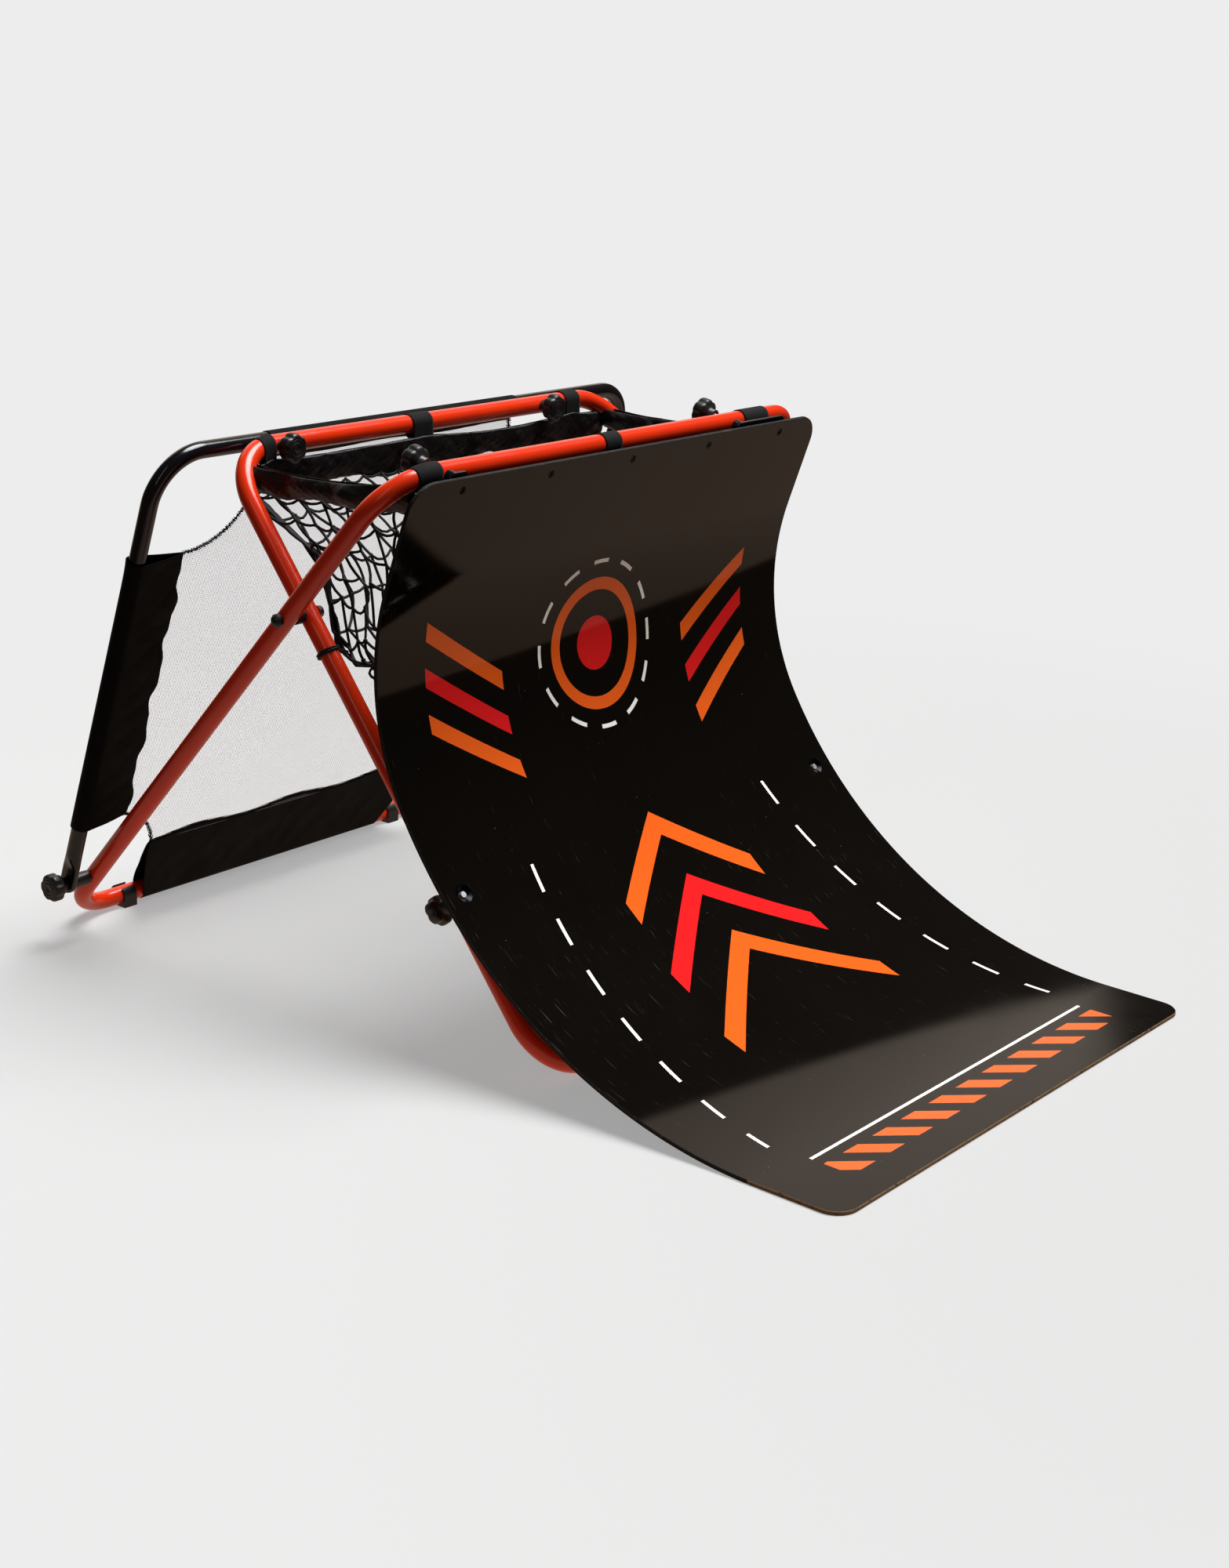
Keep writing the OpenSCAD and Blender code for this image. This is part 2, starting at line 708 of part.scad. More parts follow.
module hanger_knob_left() {
  color("#141414") place() hanger_axis(LEFT) translate([0, 0, hanger_seat]) knob();
}

module hanger_knob_right() {
  color("#141414") place() hanger_axis(RIGHT) translate([0, 0, hanger_seat]) knob();
}

module ramp_knob_left() {
  color("#141414") place() ramp_bolt_axis(LEFT) translate([0, 0, clamp_seat]) knob();
}

module ramp_knob_right() {
  color("#141414") place() ramp_bolt_axis(RIGHT) translate([0, 0, clamp_seat]) knob();
}

module base_knob_left() {
  color("#141414") place() base_axis(LEFT) translate([0, 0, base_seat]) knob();
}

module base_knob_right() {
  color("#141414") place() base_axis(RIGHT) translate([0, 0, base_seat]) knob();
}

module rear_stud_left() {
  color("silver") place() clamp_axis(LEFT) stud(-clamp_face - clamp_reach, clamp_seat);
}

module rear_stud_right() {
  color("silver") place() clamp_axis(RIGHT) stud(-clamp_face - clamp_reach, clamp_seat);
}

module hanger_stud_left() {
  color("silver") place() hanger_axis(LEFT) stud(-boss_end + 2, hanger_seat);
}

module hanger_stud_right() {
  color("silver") place() hanger_axis(RIGHT) stud(-boss_end + 2, hanger_seat);
}

module ramp_stud_left() {
  color("silver") place() ramp_bolt_axis(LEFT) stud(stud_tip - cup_rim_at, clamp_seat);
}

module ramp_stud_right() {
  color("silver") place() ramp_bolt_axis(RIGHT) stud(stud_tip - cup_rim_at, clamp_seat);
}

module base_stud_left() {
  color("silver") place() base_axis(LEFT) stud(-base_face - base_insert_len, base_seat);
}

module base_stud_right() {
  color("silver") place() base_axis(RIGHT) stud(-base_face - base_insert_len, base_seat);
}

// Threaded inserts in the rebound frame's top bar
module clamp_inserts() {
  body_r = clamp_insert_r - 0.02;
  color("silver") place() clamp_axes() difference() {
    union() {
      translate([0, 0, -clamp_insert_end]) cylinder(r = body_r, h = insert_len);
      translate([0, 0, -clamp_face]) cylinder(r = body_r + 2, h = insert_flange);
    }
    translate([0, 0, -clamp_insert_end - 1]) cylinder(r = stud_r + insert_play, h = insert_len + 3);
  }
}

// Spacers between the rebound frame's feet and the rear legs
module base_spacers() {
  length = base_face - knob_seat - base_seat;
  color("black") place() base_axes() translate([0, 0, knob_seat - base_face]) difference() {
    cylinder(r = spacer_d / 2, h = length);
    translate([0, 0, -1]) cylinder(r = hole_r, h = length + 2);
  }
}

// Threaded inserts in the rear legs
module base_insert_holes() {
  base_axes() translate([0, 0, -base_face - base_insert_len])
    cylinder(r = base_insert_r + 0.02, h = base_insert_len + 2);
}

module base_inserts() {
  color("silver") place() base_axes() translate([0, 0, -base_face - base_insert_len]) difference() {
    cylinder(r = base_insert_r, h = base_insert_len);
    translate([0, 0, -1]) cylinder(r = hole_r, h = base_insert_len + 2);
  }
}

// Foot clips: a C round the bottom bar, flat underneath and open on top
module clip_profile() {
  out = frame_r + clip_wall;
  difference() {
    union() {
      circle(r = out);
      translate([-out, -out]) square([2 * out, out]);
    }
    circle(r = frame_r + 0.02);
    translate([-frame_r * 0.7, 0]) square([frame_r * 1.4, 2 * out]);
  }
}

module foot_clip(x, foot) {
  translate([x - clip_len / 2, foot[0], foot[1]]) rotate([90, 0, 90])
    linear_extrude(clip_len) clip_profile();
}

module rear_foot_clips() {
  color("#1b1b1b") place() for (x = [-clip_left, clip_right]) foot_clip(x, rear_foot);
}

module front_foot_clips() {
  color("#1b1b1b") place() for (x = [-front_clip_side, front_clip_side]) foot_clip(x, front_foot);
}

// Basket rims: cloth bands with a sagging, waved lower edge, drawn along X or Y
function sag(t) = rim_sag * 4 * t * (1 - t);

module rim_band(length, high_from, high_to, height, waves) {
  steps = 24;
  top = [for (k = [0:steps]) let (t = k / steps)
    [t * length, high_from + (high_to - high_from) * t - sag(t)]];
  foot = [for (k = [steps:-1:0]) top[k] - [0, height + rim_wave * sin(waves * 360 * k / steps)]];
  linear_extrude(rim_t) polygon(concat(top, foot));
}

module rim_across(y, high, height, waves) {
  half = rim_half - rim_t - 1;
  translate([-half, y + rim_t / 2, 0]) rotate([90, 0, 0]) rim_band(2 * half, high, high, height, waves);
}

module rim_along(side) {
  start = front_rim_y + rim_t;
  length = rear_rim_y - rim_t - start;
  x = side == RIGHT ? rim_half - rim_t : -rim_half;
  translate([x, start, 0]) rotate([90, 0, 90]) rim_band(length, rim_top_front, rim_top_rear, rim_h, 1);
}

module basket_front_rim() {
  color("#121212") place() rim_across(front_rim_y, rim_top_front, rim_h, 1);
}

module basket_rear_rim() {
  color("#121212") place() difference() {
    rim_across(rear_rim_y, rim_top_rear, rear_rim_h, rim_waves);
    front_leg_room();
  }
}

module basket_left_rim() {
  color("#121212") place() difference() {
    rim_along(LEFT);
    front_leg_room();
  }
}

module basket_right_rim() {
  color("#121212") place() difference() {
    rim_along(RIGHT);
    front_leg_room();
  }
}

// The cloth stays clear of the bends of the bar that it hangs from
module front_leg_room() {
  on_front_legs() crown(front_frame_half, front_top_reach, front_bend, frame_r + rim_clearance);
}

// Straps: sleeves that follow the bar, cut to [from, to] across the width
module strap_cut(span) {
  translate([span[0], -frame_tube, -frame_tube]) cube([span[1] - span[0], 2 * frame_tube, 2 * frame_tube]);
}

// Tail of a strap, down to the rim; the bar's middle is at the origin
module strap_tail(span, y) {
  translate([span[0], y - strap_t, 0.5 - rim_drop]) cube([span[1] - span[0], 2 * strap_t, frame_r + 2]);
}

module basket_straps_front() {
  inner = frame_r + strap_slack;
  color("#0d0d0d") place() difference() {
    for (span = front_straps) {
      intersection() {
        on_rear_legs() crown(rear_frame_half, rear_top_reach, rear_bend, inner + strap_t);
        translate([0, rear_top[0], rear_top[1]]) strap_cut(span);
      }
      translate([0, rear_top[0], rear_top[1]]) strap_tail(span, inner + strap_t);
    }
    on_rear_legs() crown(rear_frame_half, rear_top_reach, rear_bend, inner);
  }
}

module basket_straps_rear() {
  inner = frame_r + strap_slack;
  color("#0d0d0d") place() difference() {
    for (span = rear_straps) {
      intersection() {
        on_front_legs() crown(front_frame_half, front_top_reach, front_bend, inner + strap_t);
        translate([0, front_top[0], front_top[1]]) strap_cut(span);
      }
      translate([0, front_top[0], front_top[1]]) strap_tail(span, -inner - strap_t);
    }
    on_front_legs() crown(front_frame_half, front_top_reach, front_bend, inner);
  }
}

// Net bag: open on top, narrow floor, rear wall drawn in towards the legs
module net_section(wall) {
  back = rear_rim_y - wall;
  floor = net_floor + wall;
  knee = net_knee - wall;
  front = front_rim_y - rim_t / 2 + wall;
  low_front = net_front_y + wall;
  top_z = rim_top_rear - rear_rim_h - rim_sag - 8;
  front_z = rim_top_front - rim_h - rim_sag - 8;
  drop = top_z - net_floor;
  lid = [[front, front_z + 60], [back, top_z + 60]];
  polygon(concat([
    [back, top_z], [back - 58, top_z - 0.1 * drop], [knee + 30, top_z - 0.22 * drop],
    [knee + 8, top_z - 0.4 * drop], [knee - 4, top_z - 0.66 * drop], [knee - 14, floor + 0.1 * drop],
    [knee - 45, floor], [low_front + 30, floor], [low_front + 5, floor + 0.1 * drop],
    [low_front, floor + 0.2 * drop], [front, front_z]
  ], wall > 0 ? lid : []));
}

module basket_net() {
  half = rim_half - rim_t - 2;
  color("#1a1a1a") place() rotate([90, 0, 90]) difference() {
    translate([0, 0, -half]) linear_extrude(2 * half) net_section(0);
    translate([0, 0, net_wall - half]) linear_extrude(2 * (half - net_wall)) net_section(net_wall);
  }
}

// Net ties: a cord loop round each inner leg, one end outwards and one towards the net
module net_ties() {
  ring = frame_r + 0.3 + tie_cord / 2;
  color("#0d0d0d") place() for (side = [LEFT, RIGHT]) {
    translate([side * front_frame_half, 0, 0]) on_front_legs() translate([0, -tie_down, 0])
      rotate([90, 0, 0]) {
        rotate_extrude($fn = 32) translate([ring, 0]) circle(r = tie_cord / 2, $fn = 24);
        for (end = [[90 - side * 125, 9], [90 + side * 125, 11]])
          rotate([0, 90, end[0]]) translate([0, 0, ring])
            cylinder(r = tie_cord / 2 - 0.3, h = end[1], $fn = 24);
      }
  }
}

// Waves of the bottom sleeve's upper edge
function wave_at(x) = sleeve_wave_h * sin(x * 360 / 190);

// Middle of the circle that cuts a corner of the mesh
function corner_mid(c) =
  let (half = (c[1] - c[0]) / 2, reach = norm(half), lift = sqrt(c[2] * c[2] - reach * reach) / reach)
  c[0] + half + c[3] * lift * [half[1], -half[0]];

module mesh_outline() {
  side = mesh_side + sleeve_lap;
  low = bottom_sleeve_down - mesh_foot_gap;
  foot = [for (k = [24:-1:-24]) let (x = k / 24 * side) [x, low + wave_at(x)]];
  difference() {
    polygon(concat([[-side, mesh_top], [side, mesh_top]], foot));
    for (c = mesh_corners) translate(corner_mid(c)) circle(r = c[2] + corner_cord / 2 + 0.05, $fn = 96);
    for (s = [LEFT, RIGHT], y = [0, sleeve_foot])
      translate([s > 0 ? mesh_side : -mesh_side - side_sleeve_in, y]) square([side_sleeve_in, side_sleeve_top]);
  }
}

// A gap is left out where it would meet an edge of the mesh
function gap_fits(x, y) =
  min([for (c = mesh_corners) norm([x, y] - corner_mid(c)) - c[2]]) >
    norm([mesh_pitch_x, mesh_pitch_y]) / 2 + 3;

module rebound_mesh() {
  gap_x = mesh_pitch_x - mesh_bar;
  gap_y = mesh_pitch_y - mesh_bar;
  color("gainsboro") place() on_rebound() translate([0, 0, -mesh_t / 2])
  linear_extrude(mesh_t) difference() {
    mesh_outline();
    for (i = [0:mesh_columns - 1], j = [0:mesh_rows - 1]) {
      x = (i + 0.5 - mesh_columns / 2) * mesh_pitch_x;
      y = mesh_top + 10 + (j + 0.5) * mesh_pitch_y;
      if (gap_fits(x, y)) translate([x, y]) square([gap_x, gap_y], center = true);
    }
  }
}

module corner_cord_arc(c) {
  mid = corner_mid(c);
  a = [for (k = [0, 1]) atan2(c[k][1] - mid[1], c[k][0] - mid[0])];
  turn = (a[1] - a[0] + 540) % 360 - 180;
  translate(mid) rotate(turn > 0 ? a[0] : a[1]) rotate_extrude(angle = abs(turn), $fn = 96)
    translate([c[2], 0]) circle(r = corner_cord / 2, $fn = 16);
}

module mesh_corner_cords() {
  color("#0d0d0d") place() on_rebound() for (c = mesh_corners) corner_cord_arc(c);
}

// Sleeve on a leg: round pocket, and a flap of two layers that holds the mesh
module side_sleeve(side) {
  layer = sleeve_t / 2;
  pocket = rebound_r + 2;
  slot = mesh_t / 2 + 0.1;
  edge = [for (k = [0:24]) let (t = k / 24)
    [side * (mesh_side + sleeve_wave_h * sin(sleeve_waves * 360 * t)),
      side_sleeve_top + t * side_sleeve_len]];
  slot_x = side == LEFT ? -mesh_side - sleeve_lap - 1 : mesh_side - 20;
  color("#101010") place() on_rebound() difference() {
    union() {
      translate([side * rebound_half, 0, 0]) leg_y(side_sleeve_top, sleeve_foot, pocket + layer);
      translate([0, 0, -slot - layer]) linear_extrude(2 * (slot + layer))
        polygon(concat(edge, [[side * rebound_half, sleeve_foot], [side * rebound_half, side_sleeve_top]]));
    }
    translate([side * rebound_half, 0, 0]) leg_y(0, rebound_leg, pocket);
    translate([slot_x, 0, -slot]) cube([sleeve_lap + 21, rebound_leg, 2 * slot]);
  }
}

module mesh_left_sleeve() {
  side_sleeve(LEFT);
}

module mesh_right_sleeve() {
  side_sleeve(RIGHT);
}

module mesh_top_sleeve() {
  inner = rebound_r + 0.2;
  layer = sleeve_t / 2;
  slot = mesh_t / 2 + 0.1;
  flap = mesh_top + 12;
  color("#101010") place() on_rebound() translate([-top_sleeve_left, 0, 0]) rotate([90, 0, 90])
    linear_extrude(top_sleeve_left + top_sleeve_right) difference() {
      union() {
        circle(r = inner + layer);
        translate([0, -slot - layer]) square([flap, 2 * (slot + layer)]);
      }
      circle(r = inner);
      translate([mesh_top - 1, -slot]) square([flap, 2 * slot]);
    }
}

// Sleeve round the rear bottom bar, with a flap up to the mesh
module mesh_bottom_sleeve() {
  down = bottom_sleeve_down * [sin(rebound_lean), -cos(rebound_lean)];
  run = rear_foot - rebound_top - down;
  length = norm(run);
  inner = frame_r + 0.3;
  from = sleeve_slant - bottom_sleeve_left;
  to = bottom_sleeve_right - sleeve_slant;
  width = bottom_sleeve_left + bottom_sleeve_right;
  crest = [for (k = [0:32]) let (x = k / 32 * width - bottom_sleeve_left) [x, wave_at(x)]];
  sides = [[to, 0.7 * length], [to, length], [from, length], [from, 0.7 * length]];
  color("#101010") place() difference() {
    union() {
      translate([0, rear_foot[0], rear_foot[1]]) rotate([atan2(run[1], run[0]), 0, 0])
        translate([0, -length, -sleeve_t / 2]) linear_extrude(sleeve_t) polygon(concat(crest, sides));
      translate([from, rear_foot[0], rear_foot[1]]) rotate([0, 90, 0])
        cylinder(r = inner + sleeve_t / 2, h = to - from);
    }
    translate([0, rear_foot[0], rear_foot[1]]) bar_x(rear_frame_half, inner);
  }
}

rear_leg_frame();
front_leg_frame();
rebound_frame();
pivot_bolts();
pivot_spacers();
pivot_cap_nuts();
ramp_panel();
ramp_top_rail();
rail_screws();
ramp_bracket_left();
ramp_bracket_right();
hanger_knob_left();
hanger_knob_right();
hanger_stud_left();
hanger_stud_right();
ramp_bolt_cups();
ramp_knob_left();
ramp_knob_right();
ramp_stud_left();
ramp_stud_right();
rear_knob_left();
rear_knob_right();
rear_stud_left();
rear_stud_right();
clamp_inserts();
base_knob_left();
base_knob_right();
base_stud_left();
base_stud_right();
base_spacers();
base_inserts();
rear_foot_clips();
front_foot_clips();
basket_front_rim();
basket_rear_rim();
basket_left_rim();
basket_right_rim();
basket_straps_front();
basket_straps_rear();
basket_net();
net_ties();
rebound_mesh();
mesh_top_sleeve();
mesh_left_sleeve();
mesh_right_sleeve();
mesh_bottom_sleeve();
mesh_corner_cords();
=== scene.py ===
"""Folding football training ramp with a basket net and a rebound net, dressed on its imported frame.

Sizes are in millimetres in the classes and become metres when a mesh is made.
"""

from __future__ import annotations

import logging
import math
from dataclasses import dataclass, replace
from enum import Enum
from typing import Any, Iterable, Sequence

import bmesh
import bpy
import numpy as np
from mathutils import Matrix, Vector
from mathutils.geometry import delaunay_2d_cdt


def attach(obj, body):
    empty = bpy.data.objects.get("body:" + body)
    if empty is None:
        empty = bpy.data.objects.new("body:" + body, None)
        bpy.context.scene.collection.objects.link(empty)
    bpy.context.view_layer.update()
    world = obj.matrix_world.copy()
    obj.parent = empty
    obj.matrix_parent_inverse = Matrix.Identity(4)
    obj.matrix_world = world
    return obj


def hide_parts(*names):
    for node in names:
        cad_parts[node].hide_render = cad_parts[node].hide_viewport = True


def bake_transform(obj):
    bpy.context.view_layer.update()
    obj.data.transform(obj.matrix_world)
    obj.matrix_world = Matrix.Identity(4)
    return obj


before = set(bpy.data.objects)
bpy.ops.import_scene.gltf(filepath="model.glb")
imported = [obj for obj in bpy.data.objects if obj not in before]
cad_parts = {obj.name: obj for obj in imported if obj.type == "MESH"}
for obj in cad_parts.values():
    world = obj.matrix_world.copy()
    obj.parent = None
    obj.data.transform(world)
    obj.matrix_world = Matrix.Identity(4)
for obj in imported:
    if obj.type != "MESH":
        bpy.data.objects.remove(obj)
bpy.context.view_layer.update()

LOG = logging.getLogger("training_ramp")
MM = 0.001
TAU = 2.0 * math.pi
Socket = bpy.types.NodeSocket
Piece = bpy.types.Object
Tree = bpy.types.NodeTree
LEG_AXIS = (0.0, 0.7756, -0.6312)


class Side(Enum):
    """The two sides of the object, as the sign of X."""

    LEFT = -1
    RIGHT = 1


class Body(str, Enum):
    """The bodies that the pieces ride on."""

    REAR_LEGS = "rear_legs"
    FRONT_LEGS = "front_legs"
    REBOUND = "rebound"


# ---------------------------------------------------------------- nodes


def linear(colour: str) -> tuple[float, float, float, float]:
    """Turns an sRGB hex colour to linear light.

    Args:
        colour: Six hex digits after a hash sign.

    Returns:
        Red, green, blue and an alpha of one.
    """
    parts = [int(colour[i : i + 2], 16) / 255.0 for i in (1, 3, 5)]
    light = [c / 12.92 if c <= 0.04045 else ((c + 0.055) / 1.055) ** 2.4 for c in parts]
    return (light[0], light[1], light[2], 1.0)


def add(tree: Tree, kind: str, inputs: dict[Any, Any] | None = None, out: Any = 0, **settings: Any) -> Socket:
    """Adds a node with its settings and links.

    Args:
        tree: The tree that gets the node.
        kind: Blender's name of the node.
        inputs: Values or sockets by the input's name or number.
        out: Name or number of the output that is wanted.
        **settings: The node's own properties.

    Returns:
        The wanted output socket, or the first input's socket of a node without outputs.
    """
    node = tree.nodes.new(kind)
    for key, value in settings.items():
        setattr(node, key, value)
    for key, value in (inputs or {}).items():
        if isinstance(value, Socket):
            tree.links.new(value, node.inputs[key])
        else:
            node.inputs[key].default_value = value
    return node.outputs[out] if len(node.outputs) else node.inputs[0]


OPERATIONS: dict[str, tuple[str, int]] = {
    "+": ("ADD", 2), "-": ("SUBTRACT", 2), "*": ("MULTIPLY", 2), "/": ("DIVIDE", 2), "^": ("POWER", 2),
    "<": ("LESS_THAN", 2), ">": ("GREATER_THAN", 2), "max": ("MAXIMUM", 2), "min": ("MINIMUM", 2),
    "abs": ("ABSOLUTE", 1), "fract": ("FRACT", 1), "floor": ("FLOOR", 1), "sin": ("SINE", 1),
    "sqrt": ("SQRT", 1), "atan2": ("ARCTAN2", 2),
}


def formula(tree: Tree, words: str, **values: Socket) -> Socket:
    """Works out a formula on the surface, written with each operation after its numbers.

    Args:
        tree: The material's tree.
        words: Numbers, names of values and operations, with spaces between them.
        **values: Sockets by the names that the words use.

    Returns:
        The socket that carries the result.
    """
    stack: list[Any] = []
    for word in words.split():
        if word in OPERATIONS:
            operation, count = OPERATIONS[word]
            taken = stack[-count:]
            del stack[-count:]
            stack.append(add(tree, "ShaderNodeMath", dict(enumerate(taken)), operation=operation))
        else:
            stack.append(values[word] if word in values else float(word))
    return stack.pop()


def mix(tree: Tree, share: Socket, first: Any, second: Any) -> Socket:
    """Mixes two colours by a share from 0 to 1."""
    return add(tree, "ShaderNodeMix", {0: share, 6: first, 7: second}, out=2, data_type="RGBA")


def noise(tree: Tree, place: Socket, scale: float, detail: float) -> Socket:
    """Draws noise, with its scale in cells per metre."""
    return add(tree, "ShaderNodeTexNoise", {"Vector": place, "Scale": scale, "Detail": detail})


def carried(tree: Tree, name: str) -> Socket:
    """Reads a number that the mesh carries at each point."""
    return add(tree, "ShaderNodeAttribute", attribute_name=name, out="Fac")


def waves(tree: Tree, along: Socket, length: float) -> Socket:
    """Draws waves from 0 to 1 along a value, with their length in metres."""
    return formula(tree, f"a {TAU / length} * sin 0.5 * 0.5 +", a=along)


def span(
    tree: Tree, value: Socket, start: float, end: float, low: float = 0.0, high: float = 1.0, soft: bool = False,
) -> Socket:
    """Maps the span from start to end to the one from low to high, with soft or hard ends."""
    inputs = {"Value": value, "From Min": start, "From Max": end, "To Min": low, "To Max": high}
    return add(tree, "ShaderNodeMapRange", inputs, interpolation_type="SMOOTHSTEP" if soft else "LINEAR")


def empty_tree(owner: bpy.types.Material | bpy.types.World) -> Tree:
    """Gives the node tree of a material or a world, emptied."""
    owner.use_nodes = True
    owner.node_tree.nodes.clear()
    return owner.node_tree


# ---------------------------------------------------------------- finishes


@dataclass(frozen=True)
class Finish:
    """A plain surface: its colour drifts a little, its gloss is uneven and its skin has a fine grain.

    The grain and the drift are sizes in millimetres, the depth is the grain's height.
    """

    name: str
    colour: str
    shade: str
    roughness: float = 0.4
    uneven: float = 0.08
    metallic: float = 0.0
    ior: float = 1.5
    coat: float = 0.0
    coat_roughness: float = 0.1
    sheen: float = 0.0
    specular: float = 0.5
    tint: str = "#FFFFFF"
    grain: float = 1.5
    depth: float = 0.05
    drift: float = 60.0

    def surface(self, tree: Tree, place: Socket) -> tuple[Socket, Socket, Socket]:
        """Draws the surface.

        Args:
            tree: The material's tree.
            place: Object coordinates.

        Returns:
            Sockets of the colour, the roughness and the height.
        """
        drift = noise(tree, place, 1 / (self.drift * MM), 3.0)
        colour = mix(tree, drift, linear(self.colour), linear(self.shade))
        grain = noise(tree, place, 1 / (self.grain * MM), 2.0)
        return colour, span(tree, drift, 0.3, 0.7, self.roughness - self.uneven, self.roughness + self.uneven), grain

    def make(self) -> bpy.types.Material:
        """Makes the material."""
        material = bpy.data.materials.new(self.name)
        tree = empty_tree(material)
        place = add(tree, "ShaderNodeTexCoord", out="Object")
        colour, roughness, height = self.surface(tree, place)
        normal = add(tree, "ShaderNodeBump", {"Height": height, "Distance": self.depth * MM, "Strength": 1.0})
        shader = add(tree, "ShaderNodeBsdfPrincipled", {
            "Base Color": colour, "Roughness": roughness, "Normal": normal, "Metallic": self.metallic,
            "IOR": self.ior, "Coat Weight": self.coat, "Coat Roughness": self.coat_roughness,
            "Sheen Weight": self.sheen, "Sheen Roughness": 0.4, "Specular IOR Level": self.specular,
            "Specular Tint": linear(self.tint),
        })
        add(tree, "ShaderNodeOutputMaterial", {"Surface": shader})
        material.diffuse_color = linear(self.colour)
        return material


@dataclass(frozen=True)
class PrintedFilm(Finish):
    """Phenolic film on a bent board, screen-printed: glossy, with hair scratches and flat bright inks."""

    orange: str = "#E05C1C"
    red: str = "#D31D1F"
    white: str = "#EDEBE6"
    dust: str = "#8C8276"

    def motifs(self) -> list[tuple[str, str]]:
        """Lists each motif's ink and its formula in metres across (u) and up the ramp (v)."""
        step = "v u abs 0.78 * + 0.445 - 0.098 /"
        arrow = f"{step} fract 0.36 < {step} 0 > * {step} 3 < * u abs 0.175 {step} floor 0.02 * - < *"
        pair = f"{step} 0.5 * fract 0.5"
        ring = "u 2 ^ v 0.915 - 2 ^ + sqrt"
        ticks = "u v 0.915 - atan2 1.9099 * 0.25 + fract 0.5 <"
        bar = "v u abs 0.62 * - 0.655 - 0.058 /"
        bars = f"{bar} fract 0.42 < {bar} 0 > * {bar} 3 < * u abs 0.185 > * u abs 0.325 <  *"
        lane = "u abs 0.352 v 0.16 * - - abs 0.0028 < v 0.078 / fract 0.5 < * v 0.16 > * v 0.70 < *"
        return [
            (self.orange, f"{arrow} {pair} < *"),
            (self.red, f"{arrow} {pair} > *"),
            (self.orange, f"{ring} 0.080 - abs 0.0085 <"),
            (self.red, f"{ring} 0.036 <"),
            (self.white, f"{ring} 0.112 - abs 0.0028 < {ticks} *"),
            (self.orange, f"{bars} {bar} floor 1 - abs 0.5 > *"),
            (self.red, f"{bars} {bar} floor 1 - abs 0.5 < *"),
            (self.white, lane),
            (self.orange, "u v + 0.062 / fract 0.5 < v 0.050 > * v 0.090 < * u abs 0.315 < *"),
            (self.white, "v 0.1080 - abs 0.0024 < u abs 0.315 < *"),
        ]

    def surface(self, tree: Tree, place: Socket) -> tuple[Socket, Socket, Socket]:
        """Draws film, scratches and print; see Finish.surface."""
        u, v, front = (carried(tree, name) for name in ("across", "run", "front"))
        colour, roughness, grain = Finish.surface(self, tree, place)
        for ink, words in self.motifs():
            colour = mix(tree, formula(tree, f"{words} front *", u=u, v=v, front=front), colour, linear(ink))
        # Scuffs run up the ramp, so the noise is stretched along the run
        line = add(tree, "ShaderNodeCombineXYZ", {"X": u, "Y": v})
        long_way = add(tree, "ShaderNodeVectorMath", {0: line, 1: (900.0, 22.0, 1.0)}, operation="MULTIPLY")
        scuff = noise(tree, long_way, 1.0, 2.0)
        # Grit leaves pale specks of about a millimetre
        speck = add(tree, "ShaderNodeTexVoronoi", {"Vector": line, "Scale": 55.0, "Randomness": 1.0}, out="Distance")
        patch = noise(tree, line, 9.0, 1.0)
        dusty = formula(tree, "d 0.030 < p 0.55 > * 0.5 * s 0.72 - 0 max 1.6 * +", d=speck, p=patch, s=scuff)
        worn = formula(tree, "s 0.66 - 0 max 3 * r + p 0.5 - 0.10 * +", s=scuff, r=roughness, p=patch)
        return mix(tree, dusty, colour, linear(self.dust)), worn, formula(tree, "g s 0.4 * +", g=grain, s=scuff)


@dataclass(frozen=True)
class WornEdge(Finish):
    """Blackened board edge that has rubbed through to the tan core, most of all at the foot."""

    core: str = "#735B40"

    def surface(self, tree: Tree, place: Socket) -> tuple[Socket, Socket, Socket]:
        """Draws the black edge and its rubbed places; see Finish.surface."""
        v = carried(tree, "run")
        colour, roughness, grain = Finish.surface(self, tree, place)
        rub = noise(tree, place, 1 / (6.0 * MM), 5.0)
        bare = formula(tree, "n 0.60 v 0.13 < 0.30 * - - 7 * 0 max 1 min v 0.13 < 0.55 * 0.30 + *", n=rub, v=v)
        return mix(tree, bare, colour, linear(self.core)), roughness, grain


@dataclass(frozen=True)
class Woven(Finish):
    """Plain-woven nylon: a grid of threads that catches the light in fine dots; besides the bump, the raised threads
    are painted toward the lighter second tone, a painted highlight.

    The real thread is 0.3 mm; it is drawn coarser so that it shows.
    """

    thread: float = 1.2

    def surface(self, tree: Tree, place: Socket) -> tuple[Socket, Socket, Socket]:
        """Draws the weave on the cloth's own grid; see Finish.surface."""
        u, v = carried(tree, "across"), carried(tree, "run")
        colour, roughness, grain = Finish.surface(self, tree, place)
        turns = TAU / (self.thread * MM)
        weave = formula(tree, f"u {turns} * sin v {turns} * sin * 0.5 * 0.5 +", u=u, v=v)
        # Painted highlight: the weave's crests are tinted toward the second tone, which is lighter on these black
        # cloths
        painted_crests = mix(tree, formula(tree, "w 0.35 *", w=weave), colour, linear(self.shade))
        return painted_crests, roughness, formula(tree, "w g 0.6 * +", w=weave, g=grain)


